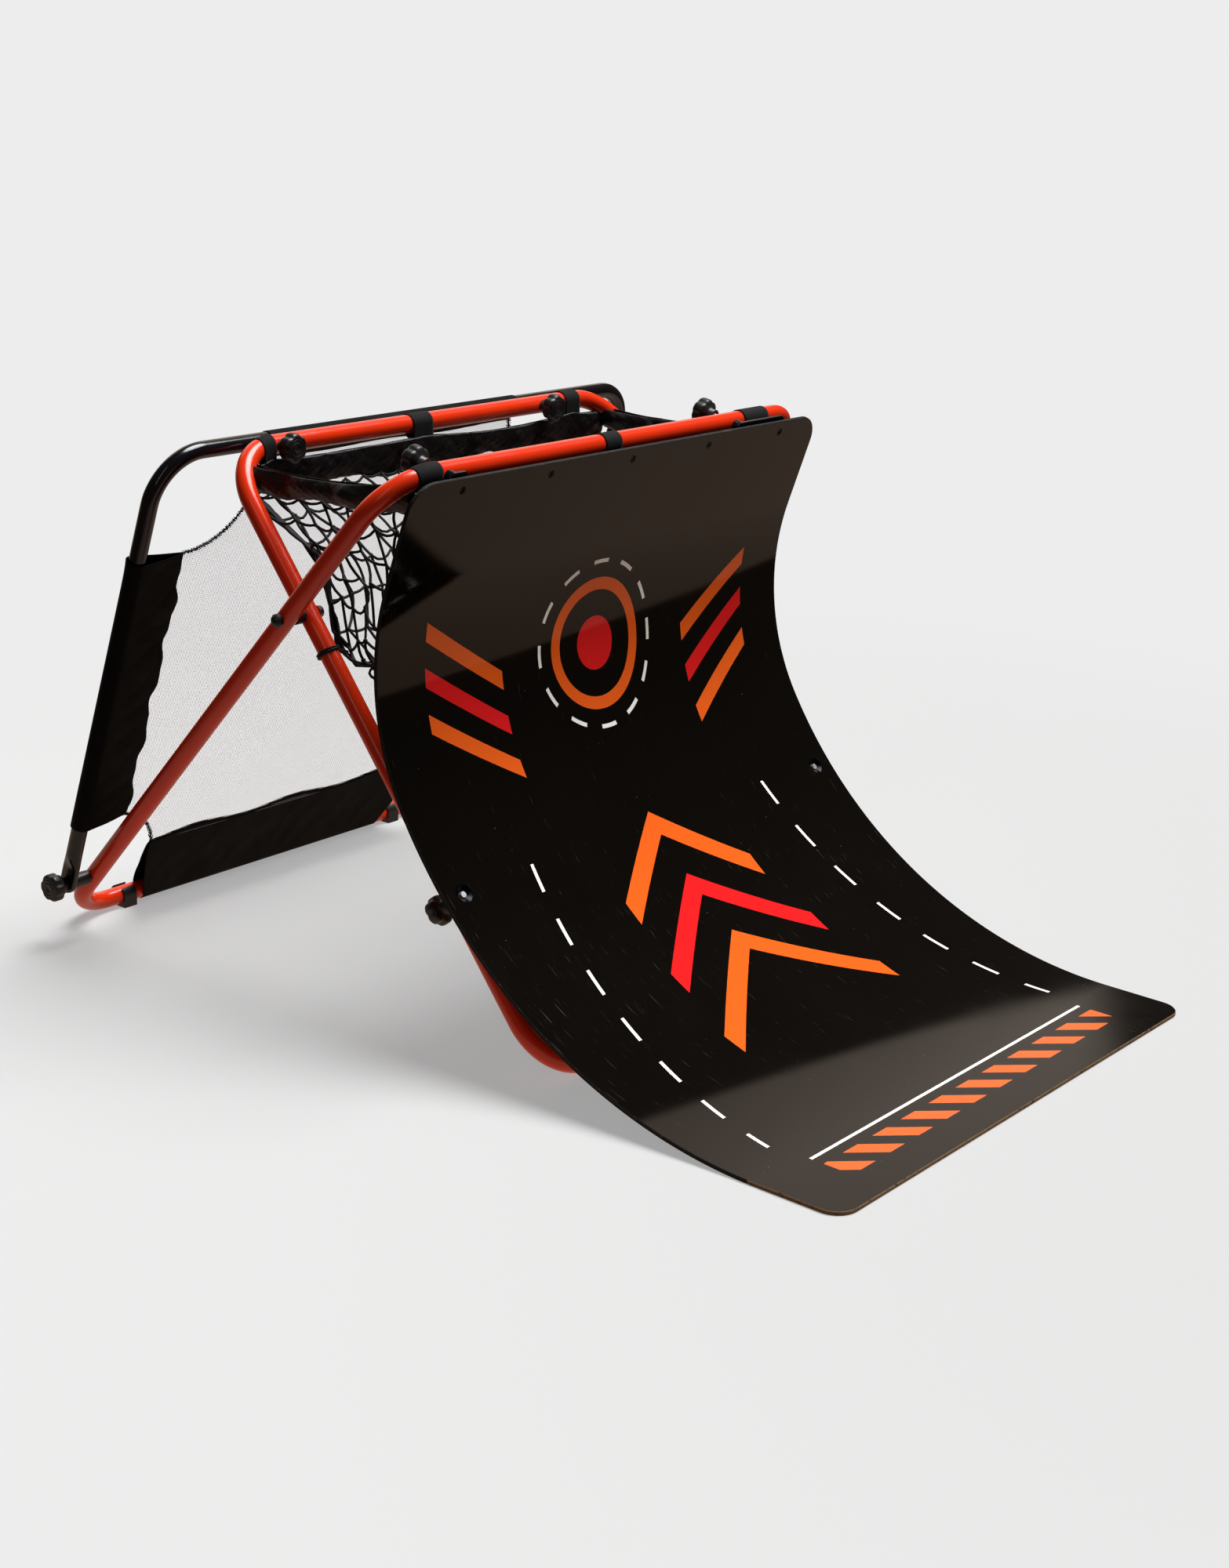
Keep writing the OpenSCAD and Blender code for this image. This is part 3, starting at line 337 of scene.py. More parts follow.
@dataclass(frozen=True)
class Laid(Finish):
    """Laid cord or ribbed thread: rings of strands along its length, which show as fine slanting lines; besides the
    bump, the raised strands are painted toward the second tone, lighter on the black cords, a painted highlight, and
    darker on the white knit.
    """

    strand: float = 1.4

    def surface(self, tree: Tree, place: Socket) -> tuple[Socket, Socket, Socket]:
        """Draws the strands along the cord; see Finish.surface."""
        colour, roughness, grain = Finish.surface(self, tree, place)
        strand = waves(tree, carried(tree, "run"), self.strand * MM)
        # The strand rings are painted into the colour as well as the bump: a painted highlight on the black cords
        painted_crests = mix(tree, formula(tree, "w 0.5 *", w=strand), colour, linear(self.shade))
        return painted_crests, roughness, formula(tree, "w g 0.5 * +", w=strand, g=grain)


@dataclass(frozen=True)
class Threaded(Finish):
    """Zinc-plated bolt stock: bright, with a rolled thread that rings it along one axis."""

    axis: tuple[float, float, float] = (0.0, 1.0, 0.0)
    pitch: float = 1.25

    def surface(self, tree: Tree, place: Socket) -> tuple[Socket, Socket, Socket]:
        """Draws the thread along the axis; see Finish.surface."""
        colour, roughness, grain = Finish.surface(self, tree, place)
        along = add(tree, "ShaderNodeVectorMath", {0: place, 1: self.axis}, out="Value", operation="DOT_PRODUCT")
        ring = waves(tree, along, self.pitch * MM)
        return colour, roughness, formula(tree, "r g 0.1 * +", r=ring, g=grain)


class Finishes:
    """The object's finishes, each made once."""

    def __init__(self) -> None:
        """Makes every material of the object."""
        # Baked polyester powder on steel tube: even red-orange, wet-looking highlights, faint orange peel
        red = Finish(
            "red_powder_coat", "#E0360D", "#CC2608", roughness=0.22, uneven=0.04, coat=0.12,
            coat_roughness=0.06, specular=0.36, grain=2.2, depth=0.015,
        )
        self.red_powder = red.make()
        # The same powder in black on the rebound frame: deep, with clean bright lines along its bends
        self.black_powder = replace(
            red, name="black_powder_coat", colour="#09070A", shade="#0F0D12", roughness=0.16,
            coat_roughness=0.05, specular=0.4,
        ).make()
        # Black film with a brown cast; the gloss shows the room's lights as broad soft patches
        self.film = PrintedFilm(
            "printed_film", "#060504", "#0A0806", roughness=0.07, uneven=0.015, specular=0.24,
            tint="#FFE3C8", grain=0.9, depth=0.008, drift=180.0,
        ).make()
        # Edge of the board: black paint with a tan line where the core has rubbed bare
        self.board_edge = WornEdge(
            "rubbed_board_edge", "#0C0907", "#070504", roughness=0.6, uneven=0.1, specular=0.2,
            grain=0.6, depth=0.08, drift=7.0,
        ).make()
        # Zinc plate on steel: pale grey, slightly milky reflections
        self.zinc = Finish(
            "zinc_plate", "#B9BDC2", "#8E9298", roughness=0.32, uneven=0.1, metallic=1.0,
            grain=0.8, depth=0.01, drift=9.0,
        ).make()
        # Blackened screw steel: near-black heads that stand out from the lit film; the fine 1.6 mm mottle between two
        # near-blacks is a painted stand-in for the glints in the cross recess
        screw = Finish(
            "black_oxide_screw", "#161617", "#020202", roughness=0.26, uneven=0.08, metallic=1.0,
            grain=0.5, depth=0.01, drift=1.6,
        )
        self.black_screw = screw.make()
        # Pressed steel dish, blackened: only its rim and the bend catch light
        self.black_dish = replace(
            screw, name="black_oxide_dish", colour="#1C1C1E", shade="#0D0D0E", roughness=0.24,
            grain=0.7, depth=0.02, drift=6.0,
        ).make()
        # Glass-filled nylon, moulded: satin black with a fine spark-eroded texture
        self.moulded = Finish(
            "moulded_nylon", "#111112", "#18181A", roughness=0.4, uneven=0.06, specular=0.45,
            grain=0.55, depth=0.03, drift=25.0,
        ).make()
        # Crinkled nylon taffeta of the basket's edges: thin, with a silky shine on the folds
        self.taffeta = Woven(
            "nylon_taffeta", "#040304", "#080709", roughness=0.3, uneven=0.08, sheen=0.01, specular=0.3,
            grain=4.0, depth=0.14, drift=40.0,
        ).make()
        # Heavy coated polyester of the sleeves: nearly matt, deep black
        self.oxford = Woven(
            "polyester_oxford", "#040304", "#080708", roughness=0.65, uneven=0.06, specular=0.06,
            grain=3.0, depth=0.1, drift=50.0, thread=1.6,
        ).make()
        # Hook-and-loop webbing: matt fuzz with a ribbed ground
        self.webbing = Woven(
            "hook_and_loop_webbing", "#070708", "#101012", roughness=0.75, uneven=0.05, sheen=0.04,
            specular=0.14, grain=0.7, depth=0.2, drift=20.0, thread=2.0,
        ).make()
        # Laid polyethylene net cord: dull black, the strands show as fine rings
        cord = Laid(
            "laid_net_cord", "#08080A", "#121214", roughness=0.55, uneven=0.06, specular=0.2,
            grain=0.6, depth=0.12, drift=20.0,
        )
        self.net_cord = cord.make()
        # Thread whipped round the mesh's cut corners: matt, hairy
        self.whipping = replace(
            cord, name="whipped_thread", colour="#080709", shade="#111012", roughness=0.7, uneven=0.05,
            sheen=0.03, specular=0.15, grain=0.5, depth=0.1, strand=0.9,
        ).make()
        # Warp-knitted polyester thread of the rebound net: off-white, slightly translucent look
        self.knit = Laid(
            "knitted_polyester", "#F1EEF1", "#DBD8DC", roughness=0.55, uneven=0.05, grain=0.5, depth=0.05,
        ).make()
        # Zinc-plated studs along each of the knobs' axes: the thread shows as bright, close rings
        stud = Threaded(
            "zinc_thread_level", "#A9ADB3", "#7F8389", roughness=0.3, uneven=0.08, metallic=1.0,
            grain=0.5, depth=0.3, drift=8.0,
        )
        self.stud_level = stud.make()
        self.stud_across = replace(stud, name="zinc_thread_across", axis=(1.0, 0.0, 0.0)).make()
        self.stud_leg = replace(
            stud, name="zinc_thread_leg", colour="#C9CDD3", shade="#9FA3A9", roughness=0.45, axis=LEG_AXIS,
        ).make()


# ---------------------------------------------------------------- meshes


def new_mesh(
    name: str, points: Any, faces: Iterable[Sequence[int]] = (), edges: Iterable[Sequence[int]] = (),
) -> bpy.types.Mesh:
    """Makes a smooth mesh from points in millimetres.

    Args:
        name: Name of the mesh.
        points: Rows of x, y and z.
        faces: Corner numbers of each face.
        edges: End numbers of each loose edge.

    Returns:
        The mesh, in metres.
    """
    mesh = bpy.data.meshes.new(name)
    scaled = np.asarray(points, float).reshape(-1, 3) * MM
    mesh.from_pydata([tuple(p) for p in scaled], [tuple(e) for e in edges], [tuple(f) for f in faces])
    mesh.polygons.foreach_set("use_smooth", [True] * len(mesh.polygons))
    mesh.update()
    return mesh


def mark(mesh: bpy.types.Mesh, name: str, values: Any) -> None:
    """Writes one number per point to a named attribute of the mesh."""
    attribute = mesh.attributes.get(name) or mesh.attributes.new(name, "FLOAT", "POINT")
    attribute.data.foreach_set("value", np.asarray(values, np.float32).ravel())


def place(name: str, data: bpy.types.ID) -> Piece:
    """Puts a mesh, a lamp or a camera in the scene as an object at the origin."""
    piece = bpy.data.objects.new(name, data)
    bpy.context.scene.collection.objects.link(piece)
    return piece


def outward(mesh: bpy.types.Mesh, merge: float = 0.0) -> bpy.types.Mesh:
    """Merges doubles within a distance in metres and turns every face outwards."""
    shape = bmesh.new()
    shape.from_mesh(mesh)
    if merge > 0.0:
        bmesh.ops.remove_doubles(shape, verts=shape.verts, dist=merge)
    bmesh.ops.recalc_face_normals(shape, faces=shape.faces)
    shape.to_mesh(mesh)
    shape.free()
    return mesh


def coat(mesh: bpy.types.Mesh, finish: bpy.types.Material) -> None:
    """Gives a mesh one material."""
    mesh.materials.clear()
    mesh.materials.append(finish)


def bake(piece: Piece) -> Piece:
    """Turns the piece's modifiers into its mesh."""
    graph = bpy.context.evaluated_depsgraph_get()
    source = piece.evaluated_get(graph)
    made = bpy.data.meshes.new_from_object(source, preserve_all_data_layers=True, depsgraph=graph)
    piece.modifiers.clear()
    piece.data = made
    return piece


def chain(start: int, count: int, closed: bool = False) -> list[tuple[int, int]]:
    """Lists the edges along a row of points, back to its first one where it is closed."""
    return [(start + k, start + (k + 1) % count) for k in range(count if closed else count - 1)]


def between(lower: int, upper: int, count: int) -> list[tuple[int, int, int, int]]:
    """Lists the faces between two closed rings of points, by the number of each ring's first point."""
    ahead = [(k + 1) % count for k in range(count)]
    return [(lower + k, upper + k, upper + b, lower + b) for k, b in enumerate(ahead)]


def travelled(points: np.ndarray, axis: int = 0) -> np.ndarray:
    """Measures the way to each point of a row, or along one axis of a grid."""
    steps = np.linalg.norm(np.diff(points, axis=axis), axis=-1)
    return np.concatenate([np.zeros_like(steps.take([0], axis=axis)), np.cumsum(steps, axis=axis)], axis=axis)


def grid(name: str, points: np.ndarray, loop: bool = False, capped: bool = False) -> bpy.types.Mesh:
    """Makes a mesh from a grid of points.

    Args:
        name: Name of the mesh.
        points: Rows, columns, xyz in millimetres.
        loop: Whether the last column joins the first.
        capped: Whether the first and last rows are closed with a face.

    Returns:
        The mesh, with its size along the columns as "across" and along the rows as "run".
    """
    rows, columns = points.shape[:2]
    rows, columns = points.shape[:2]
    ahead = [(c + 1) % columns for c in range(columns if loop else columns - 1)]
    faces = [
        (r * columns + c, r * columns + d, (r + 1) * columns + d, (r + 1) * columns + c)
        for r in range(rows - 1)
        for c, d in enumerate(ahead)
    ]
    if capped:
        faces += [tuple(range(columns))[::-1], tuple((rows - 1) * columns + c for c in range(columns))]
    mesh = new_mesh(name, points, faces)
    mark(mesh, "across", travelled(points, axis=1) * MM)
    mark(mesh, "run", travelled(points) * MM)
    return mesh


def cloth(name: str, points: np.ndarray, thickness: float) -> Piece:
    """Makes a sheet from a grid of points and gives it its thickness in millimetres."""
    piece = place(name, outward(grid(name, points)))
    solid = piece.modifiers.new("thickness", "SOLIDIFY")
    solid.thickness = thickness * MM
    solid.offset = 0.0
    return bake(piece)


class Strands:
    """Guide lines for the growers: rows of points and the edges along them."""

    def __init__(self) -> None:
        """Starts without lines."""
        self.points: list[Any] = []
        self.edges: list[tuple[int, int]] = []

    def lay(self, line: Iterable[Any], closed: bool = False) -> None:
        """Lays one line."""
        start = len(self.points)
        self.points += list(line)
        self.edges += chain(start, len(self.points) - start, closed)

    def guide(self, name: str) -> bpy.types.Mesh:
        """Makes the guide's mesh."""
        return new_mesh(name, self.points, edges=self.edges)


@dataclass(frozen=True)
class SidePlane:
    """A flat frame that leans: x stays across, "along" runs in the frame and "out" is square to it."""

    y: float
    z: float
    along_y: float
    along_z: float

    def at(self, x: Any, along: Any, out: Any = 0.0) -> np.ndarray:
        """Gives points of the frame in the row frame, in millimetres."""
        x, along, out = np.broadcast_arrays(*(np.asarray(part, float) for part in (x, along, out)))
        y = self.y + along * self.along_y - out * self.along_z
        z = self.z + along * self.along_z + out * self.along_y
        return np.stack([x, y, z], axis=-1)


PIVOT = (206.09, 516.17)
FRONT_LEGS = SidePlane(*PIVOT, 0.631196, 0.775623)
REAR_LEGS = SidePlane(*PIVOT, -0.656849, 0.754022)
REBOUND = SidePlane(378.13, 695.26, 0.316523, -0.948585)


def rounded(
    corners: Sequence[tuple[float, float]], radius: float, closed: bool, steps: int = 24,
) -> list[tuple[float, float]]:
    """Rounds the right-angled corners of a path.

    Args:
        corners: The path's corners in its own plane.
        radius: Bend radius.
        closed: Whether the path returns to its start.
        steps: Steps in each bend.

    Returns:
        The points of the rounded path.
    """
    path: list[tuple[float, float]] = []
    count = len(corners)
    for k, corner in enumerate(corners):
        if not closed and k in (0, count - 1):
            path.append(corner)
            continue
        here, back, ahead = (np.array(corners[i % count], float) for i in (k, k - 1, k + 1))
        a = (back - here) / np.linalg.norm(back - here)
        b = (ahead - here) / np.linalg.norm(ahead - here)
        middle = here + (a + b) * radius
        for turn in np.linspace(0.0, math.pi / 2, steps + 1):
            path.append(tuple(middle - radius * (b * math.cos(turn) + a * math.sin(turn))))
    return path


def pocket_section(
    mouth: tuple[float, float], gap: float, radius: float, flat: int, arc: int,
) -> tuple[np.ndarray, np.ndarray]:
    """Lays a strip of cloth round a bar, with both ends together at a mouth.

    Args:
        mouth: Where the two ends meet, seen from the bar's middle.
        gap: Space between the two ends.
        radius: Radius of the cloth round the bar.
        flat: Steps on each flat part.
        arc: Steps round the bar.

    Returns:
        The section's points and how freely each may crease, from 0 to 1.
    """
    turn = math.atan2(mouth[1], mouth[0])
    beside = np.array([-math.sin(turn), math.cos(turn)]) * gap / 2
    ends = [np.array(mouth) + beside, np.array(mouth) - beside]
    reach = [math.acos(min(0.999, radius / float(np.linalg.norm(e)))) for e in ends]
    angles = [math.atan2(e[1], e[0]) + s * r for e, s, r in zip(ends, (1, -1), reach)]
    if angles[1] < angles[0]:
        angles[1] += TAU
    turns = np.linspace(angles[0], angles[1], arc + 1)
    round_bar = [radius * np.array([math.cos(a), math.sin(a)]) for a in turns]
    first = [ends[0] + (round_bar[0] - ends[0]) * t for t in np.linspace(0, 1, flat, endpoint=False)]
    last = [round_bar[-1] + (ends[1] - round_bar[-1]) * t for t in np.linspace(0, 1, flat + 1)[1:]]
    free = [math.sin(math.pi * min(1.0, 0.25 + t)) ** 0.5 for t in np.linspace(0, 0.75, flat, endpoint=False)]
    return np.array(first + round_bar + last), np.array(free + [0.0] * (arc + 1) + free[::-1])


class Creases:
    """Seeded creases: ridges that run over a cloth at several sizes."""

    def __init__(self, seed: int, lengths: Sequence[float], slants: Sequence[float]) -> None:
        """Draws the ridges' places.

        Args:
            seed: Fixed seed.
            lengths: Distance between ridges, in millimetres, one for each layer.
            slants: How far each layer leans from straight down the cloth.
        """
        chance = np.random.default_rng(seed)
        self.layers = [
            (TAU / length, slant, chance.uniform(0, TAU), chance.uniform(0.7, 1.0))
            for length, slant in zip(lengths, slants)
        ]
        self.bends = [(TAU / chance.uniform(90, 160), chance.uniform(0, TAU)) for _ in self.layers]

    def at(self, u: np.ndarray, v: np.ndarray) -> np.ndarray:
        """Gives the height of the creases, from about -1 to 1, at places in millimetres."""
        total = np.zeros(np.broadcast(u, v).shape)
        for k, ((wave, slant, start, size), (bend, shift)) in enumerate(zip(self.layers, self.bends)):
            phase = wave * (u + slant * v) + start + 1.3 * np.sin(bend * u + shift + 0.02 * v)
            ridge = 1.0 - 2.0 * np.abs(np.sin(phase / 2)) ** 0.8
            total += size * ridge / (k + 1.0)
        return total / sum(1.0 / (k + 1.0) for k in range(len(self.layers)))


# ---------------------------------------------------------------- geometry nodes


class Grower:
    """A Geometry Nodes tree with named sizes that turns a guide mesh into a plain mesh."""

    NAME = ""
    SIZES: dict[str, str] = {}

    def __init__(self) -> None:
        """Builds the tree, with an input for the guide, for each size and for the finish."""
        self.tree = bpy.data.node_groups.new(self.NAME, "GeometryNodeTree")
        face = self.tree.interface
        for size, kind in ({"Guide": "Geometry"} | self.SIZES | {"Finish": "Material"}).items():
            face.new_socket(name=size, in_out="INPUT", socket_type=f"NodeSocket{kind}")
        face.new_socket(name="Made", in_out="OUTPUT", socket_type="NodeSocketGeometry")
        self.entry = self.tree.nodes.new("NodeGroupInput").outputs
        smooth = add(self.tree, "GeometryNodeSetShadeSmooth", {"Geometry": self.shape()})
        real = add(self.tree, "GeometryNodeRealizeInstances", {"Geometry": smooth})
        dressed = add(self.tree, "GeometryNodeSetMaterial", {"Geometry": real, "Material": self.entry["Finish"]})
        add(self.tree, "NodeGroupOutput", {0: dressed})

    def shape(self) -> Socket:
        """Builds the tree's own part and returns its geometry."""
        raise NotImplementedError

    def curve(self) -> Socket:
        """Turns the guide's edges into curves."""
        return add(self.tree, "GeometryNodeMeshToCurve", {"Mesh": self.entry["Guide"]})

    def sweep(self, sides: Socket | int) -> Socket:
        """Runs a round profile along the guide's edges and keeps the length along them as "run"."""
        tree = self.tree
        named = add(tree, "GeometryNodeStoreNamedAttribute", {
            "Geometry": self.curve(), "Name": "run", "Value": add(tree, "GeometryNodeSplineParameter", out="Length"),
        }, domain="POINT")
        profile = add(tree, "GeometryNodeCurvePrimitiveCircle", {"Resolution": sides, "Radius": self.entry["Radius"]})
        return add(tree, "GeometryNodeCurveToMesh", {"Curve": named, "Profile Curve": profile, "Fill Caps": False})

    def chance(self, low: tuple[float, float, float], high: tuple[float, float, float]) -> Socket:
        """Draws a vector between two others for every point."""
        inputs = {"Min": low, "Max": high, "Seed": self.entry["Seed"]}
        return add(self.tree, "FunctionNodeRandomValue", inputs, data_type="FLOAT_VECTOR")

    def grow(self, name: str, guide: bpy.types.Mesh, finish: bpy.types.Material, **sizes: Any) -> Piece:
        """Runs the tree on a guide.

        Args:
            name: Name of the piece.
            guide: The guide's mesh.
            finish: Material of the result.
            **sizes: The named inputs, lengths in metres.

        Returns:
            The finished piece as a plain mesh.
        """
        piece = place(name, guide)
        modifier = piece.modifiers.new("grow", "NODES")
        modifier.node_group = self.tree
        values = sizes | {"Finish": finish}
        for item in self.tree.interface.items_tree:
            if item.in_out == "INPUT" and item.name in values:
                modifier[item.identifier] = values[item.name]
        return bake(piece)


class TubeGrower(Grower):
    """Round tube, cord or thread along the guide's edges."""

    NAME = "tube_along_path"
    SIZES = {"Radius": "Float", "Sides": "Int", "Closed Ends": "Bool"}

    def shape(self) -> Socket:
        """Sweeps the profile along the guide."""
        tube = self.sweep(self.entry["Sides"])
        self.tree.links.new(self.entry["Closed Ends"], tube.node.inputs["Fill Caps"])
        return tube


class NetGrower(Grower):
    """Knotted net: cord along the guide's edges and a knot where its "knot" number is one."""

    NAME = "knotted_net"
    SIZES = {"Radius": "Float", "Knot": "Float", "Seed": "Int"}

    def shape(self) -> Socket:
        """Sweeps the cords and sets the knots on them."""
        tree, entry = self.tree, self.entry
        cords = self.sweep(6)
        marked = add(tree, "GeometryNodeInputNamedAttribute", {"Name": "knot"}, data_type="FLOAT")
        chosen = add(tree, "FunctionNodeCompare", {0: marked, 1: 0.5}, data_type="FLOAT", operation="GREATER_THAN")
        ball = add(tree, "GeometryNodeMeshUVSphere", {"Segments": 8, "Rings": 5, "Radius": entry["Knot"]})
        knots = add(tree, "GeometryNodeInstanceOnPoints", {
            "Points": entry["Guide"], "Selection": chosen, "Instance": ball,
            "Scale": self.chance((0.8, 0.7, 0.8), (1.35, 1.1, 1.2)),
            "Rotation": self.chance((0.0, 0.0, 0.0), (TAU, TAU, TAU)),
        })
        join = tree.nodes.new("GeometryNodeJoinGeometry")
        for part in (cords, knots):
            tree.links.new(part, join.inputs[0])
        return join.outputs[0]


class RowGrower(Grower):
    """Small rings or beads in a row along the guide's edges, such as stitches and whipping."""

    NAME = "row_along_path"
    SIZES = {
        "Step": "Float", "Ring": "Float", "Thread": "Float", "Stretch": "Vector", "Spread": "Float", "Seed": "Int",
    }

    def shape(self) -> Socket:
        """Sets a thread ring on every step of the path."""
        tree, entry = self.tree, self.entry
        points = add(tree, "GeometryNodeCurveToPoints", {"Curve": self.curve(), "Length": entry["Step"]}, mode="LENGTH")
        ring, thread = (
            add(tree, "GeometryNodeCurvePrimitiveCircle", {"Resolution": sides, "Radius": entry[size]})
            for sides, size in ((8, "Ring"), (4, "Thread"))
        )
        loop = add(tree, "GeometryNodeCurveToMesh", {"Curve": ring, "Profile Curve": thread})
        swell = self.chance((0.85, 0.85, 1.0), (1.25, 1.25, 1.0))
        size = add(tree, "ShaderNodeVectorMath", {0: entry["Stretch"], 1: swell}, operation="MULTIPLY")
        tilt = self.chance((-0.35, -0.35, 0.0), (0.35, 0.35, 0.0))
        jitter = add(tree, "ShaderNodeVectorMath", {0: tilt, "Scale": entry["Spread"]}, operation="SCALE")
        turned = add(tree, "FunctionNodeRotateRotation", {
            "Rotation": points.node.outputs["Rotation"],
            "Rotate By": add(tree, "FunctionNodeEulerToRotation", {"Euler": jitter}),
        }, rotation_space="LOCAL")
        placed = {"Points": points, "Instance": loop, "Rotation": turned, "Scale": size}
        return add(tree, "GeometryNodeInstanceOnPoints", placed)


class ScrewGrower(Grower):
    """One fastener on every point of the guide, turned by the point's "turn" number about its axis."""

    NAME = "fastener_on_points"
    SIZES = {"Fastener": "Object", "Lean": "Vector"}

    def shape(self) -> Socket:
        """Sets the fasteners."""
        tree, entry = self.tree, self.entry
        body = add(tree, "GeometryNodeObjectInfo", {"Object": entry["Fastener"]}, out="Geometry")
        turn = add(tree, "GeometryNodeInputNamedAttribute", {"Name": "turn"}, data_type="FLOAT")
        spin = add(tree, "FunctionNodeEulerToRotation", {"Euler": add(tree, "ShaderNodeCombineXYZ", {"Z": turn})})
        lean = add(tree, "FunctionNodeEulerToRotation", {"Euler": entry["Lean"]})
        turned = add(
            tree, "FunctionNodeRotateRotation", {"Rotation": lean, "Rotate By": spin}, rotation_space="LOCAL",
        )
        points = add(tree, "GeometryNodeMeshToPoints", {"Mesh": entry["Guide"]})
        return add(tree, "GeometryNodeInstanceOnPoints", {"Points": points, "Instance": body, "Rotation": turned})


@dataclass(frozen=True)
class Makers:
    """The trees that the sub-assemblies share."""

    tube: TubeGrower
    net: NetGrower
    row: RowGrower
    fastener: ScrewGrower


# ---------------------------------------------------------------- assemblies


class Assembly:
    """A sub-assembly: it builds its pieces, dresses them and sets them on their bodies."""

    def __init__(self, finishes: Finishes, makers: Makers) -> None:
        """Keeps the object's finishes and the makers."""
        self.finishes = finishes
        self.makers = makers

    def build(self) -> None:
        """Builds every piece of the sub-assembly."""
        raise NotImplementedError

    def settle(
        self, piece: Piece, finish: bpy.types.Material | None, body: Body | str, slot: str, *nodes: str,
    ) -> None:
        """Dresses a piece, sets it on its body and hides the CAD nodes that it replaces.

        Args:
            piece: The finished piece.
            finish: Its material, or None where it has its materials already.
            body: The body that it rides on.
            slot: The piece's material slot; not used.
            *nodes: The CAD nodes that it replaces.
        """
        if finish is not None:
            coat(piece.data, finish)
        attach(piece, body.value if isinstance(body, Body) else body)
        self.tell(piece, nodes)

    def stretch(
        self, piece: Piece, finish: bpy.types.Material, bodies: tuple[Body, Body],
        start: Any, end: Any, slot: str, *nodes: str,
    ) -> None:
        """Dresses a piece of cloth, with its start and end in millimetres: it bakes the piece's place into its mesh,
        hides the CAD nodes that it replaces and sets it on no body.
        """
        coat(piece.data, finish)
        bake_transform(piece)
        self.tell(piece, nodes)

    def tell(self, piece: Piece, nodes: Sequence[str]) -> None:
        """Hides the CAD nodes that a piece replaces and reports the piece's name and number of points."""
        if nodes:
            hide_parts(*nodes)
        LOG.info("%s: %d points", piece.name, len(piece.data.vertices))

    def dress(self, finish: bpy.types.Material, *nodes: str) -> None:
        """Gives CAD nodes whose shape is right their material."""
        for name in nodes:
            coat(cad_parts[name].data, finish)
            LOG.info("%s: CAD node, %s", name, finish.name)


@dataclass(frozen=True)
class Loop:
    """One closed loop of red tube: half its width, its top and foot along its plane, and its bends."""

    plane: SidePlane
    body: Body
    half: float
    top: float
    foot: float
    bend: float


@dataclass(frozen=True)
class FrameSizes:
    """Sizes of the three tube frames, in millimetres."""

    rear: Loop = Loop(REAR_LEGS, Body.REAR_LEGS, half=412.5, top=261.0, foot=664.0, bend=71.0)
    front: Loop = Loop(FRONT_LEGS, Body.FRONT_LEGS, half=374.6, top=230.9, foot=645.5, bend=77.0)
    red_radius: float = 12.5
    black_radius: float = 11.0
    rebound_half: float = 458.0
    rebound_bend: float = 69.0
    rebound_leg: float = 643.5
    tail: float = 26.0
    flat: float = 9.0
    flat_width: float = 26.5


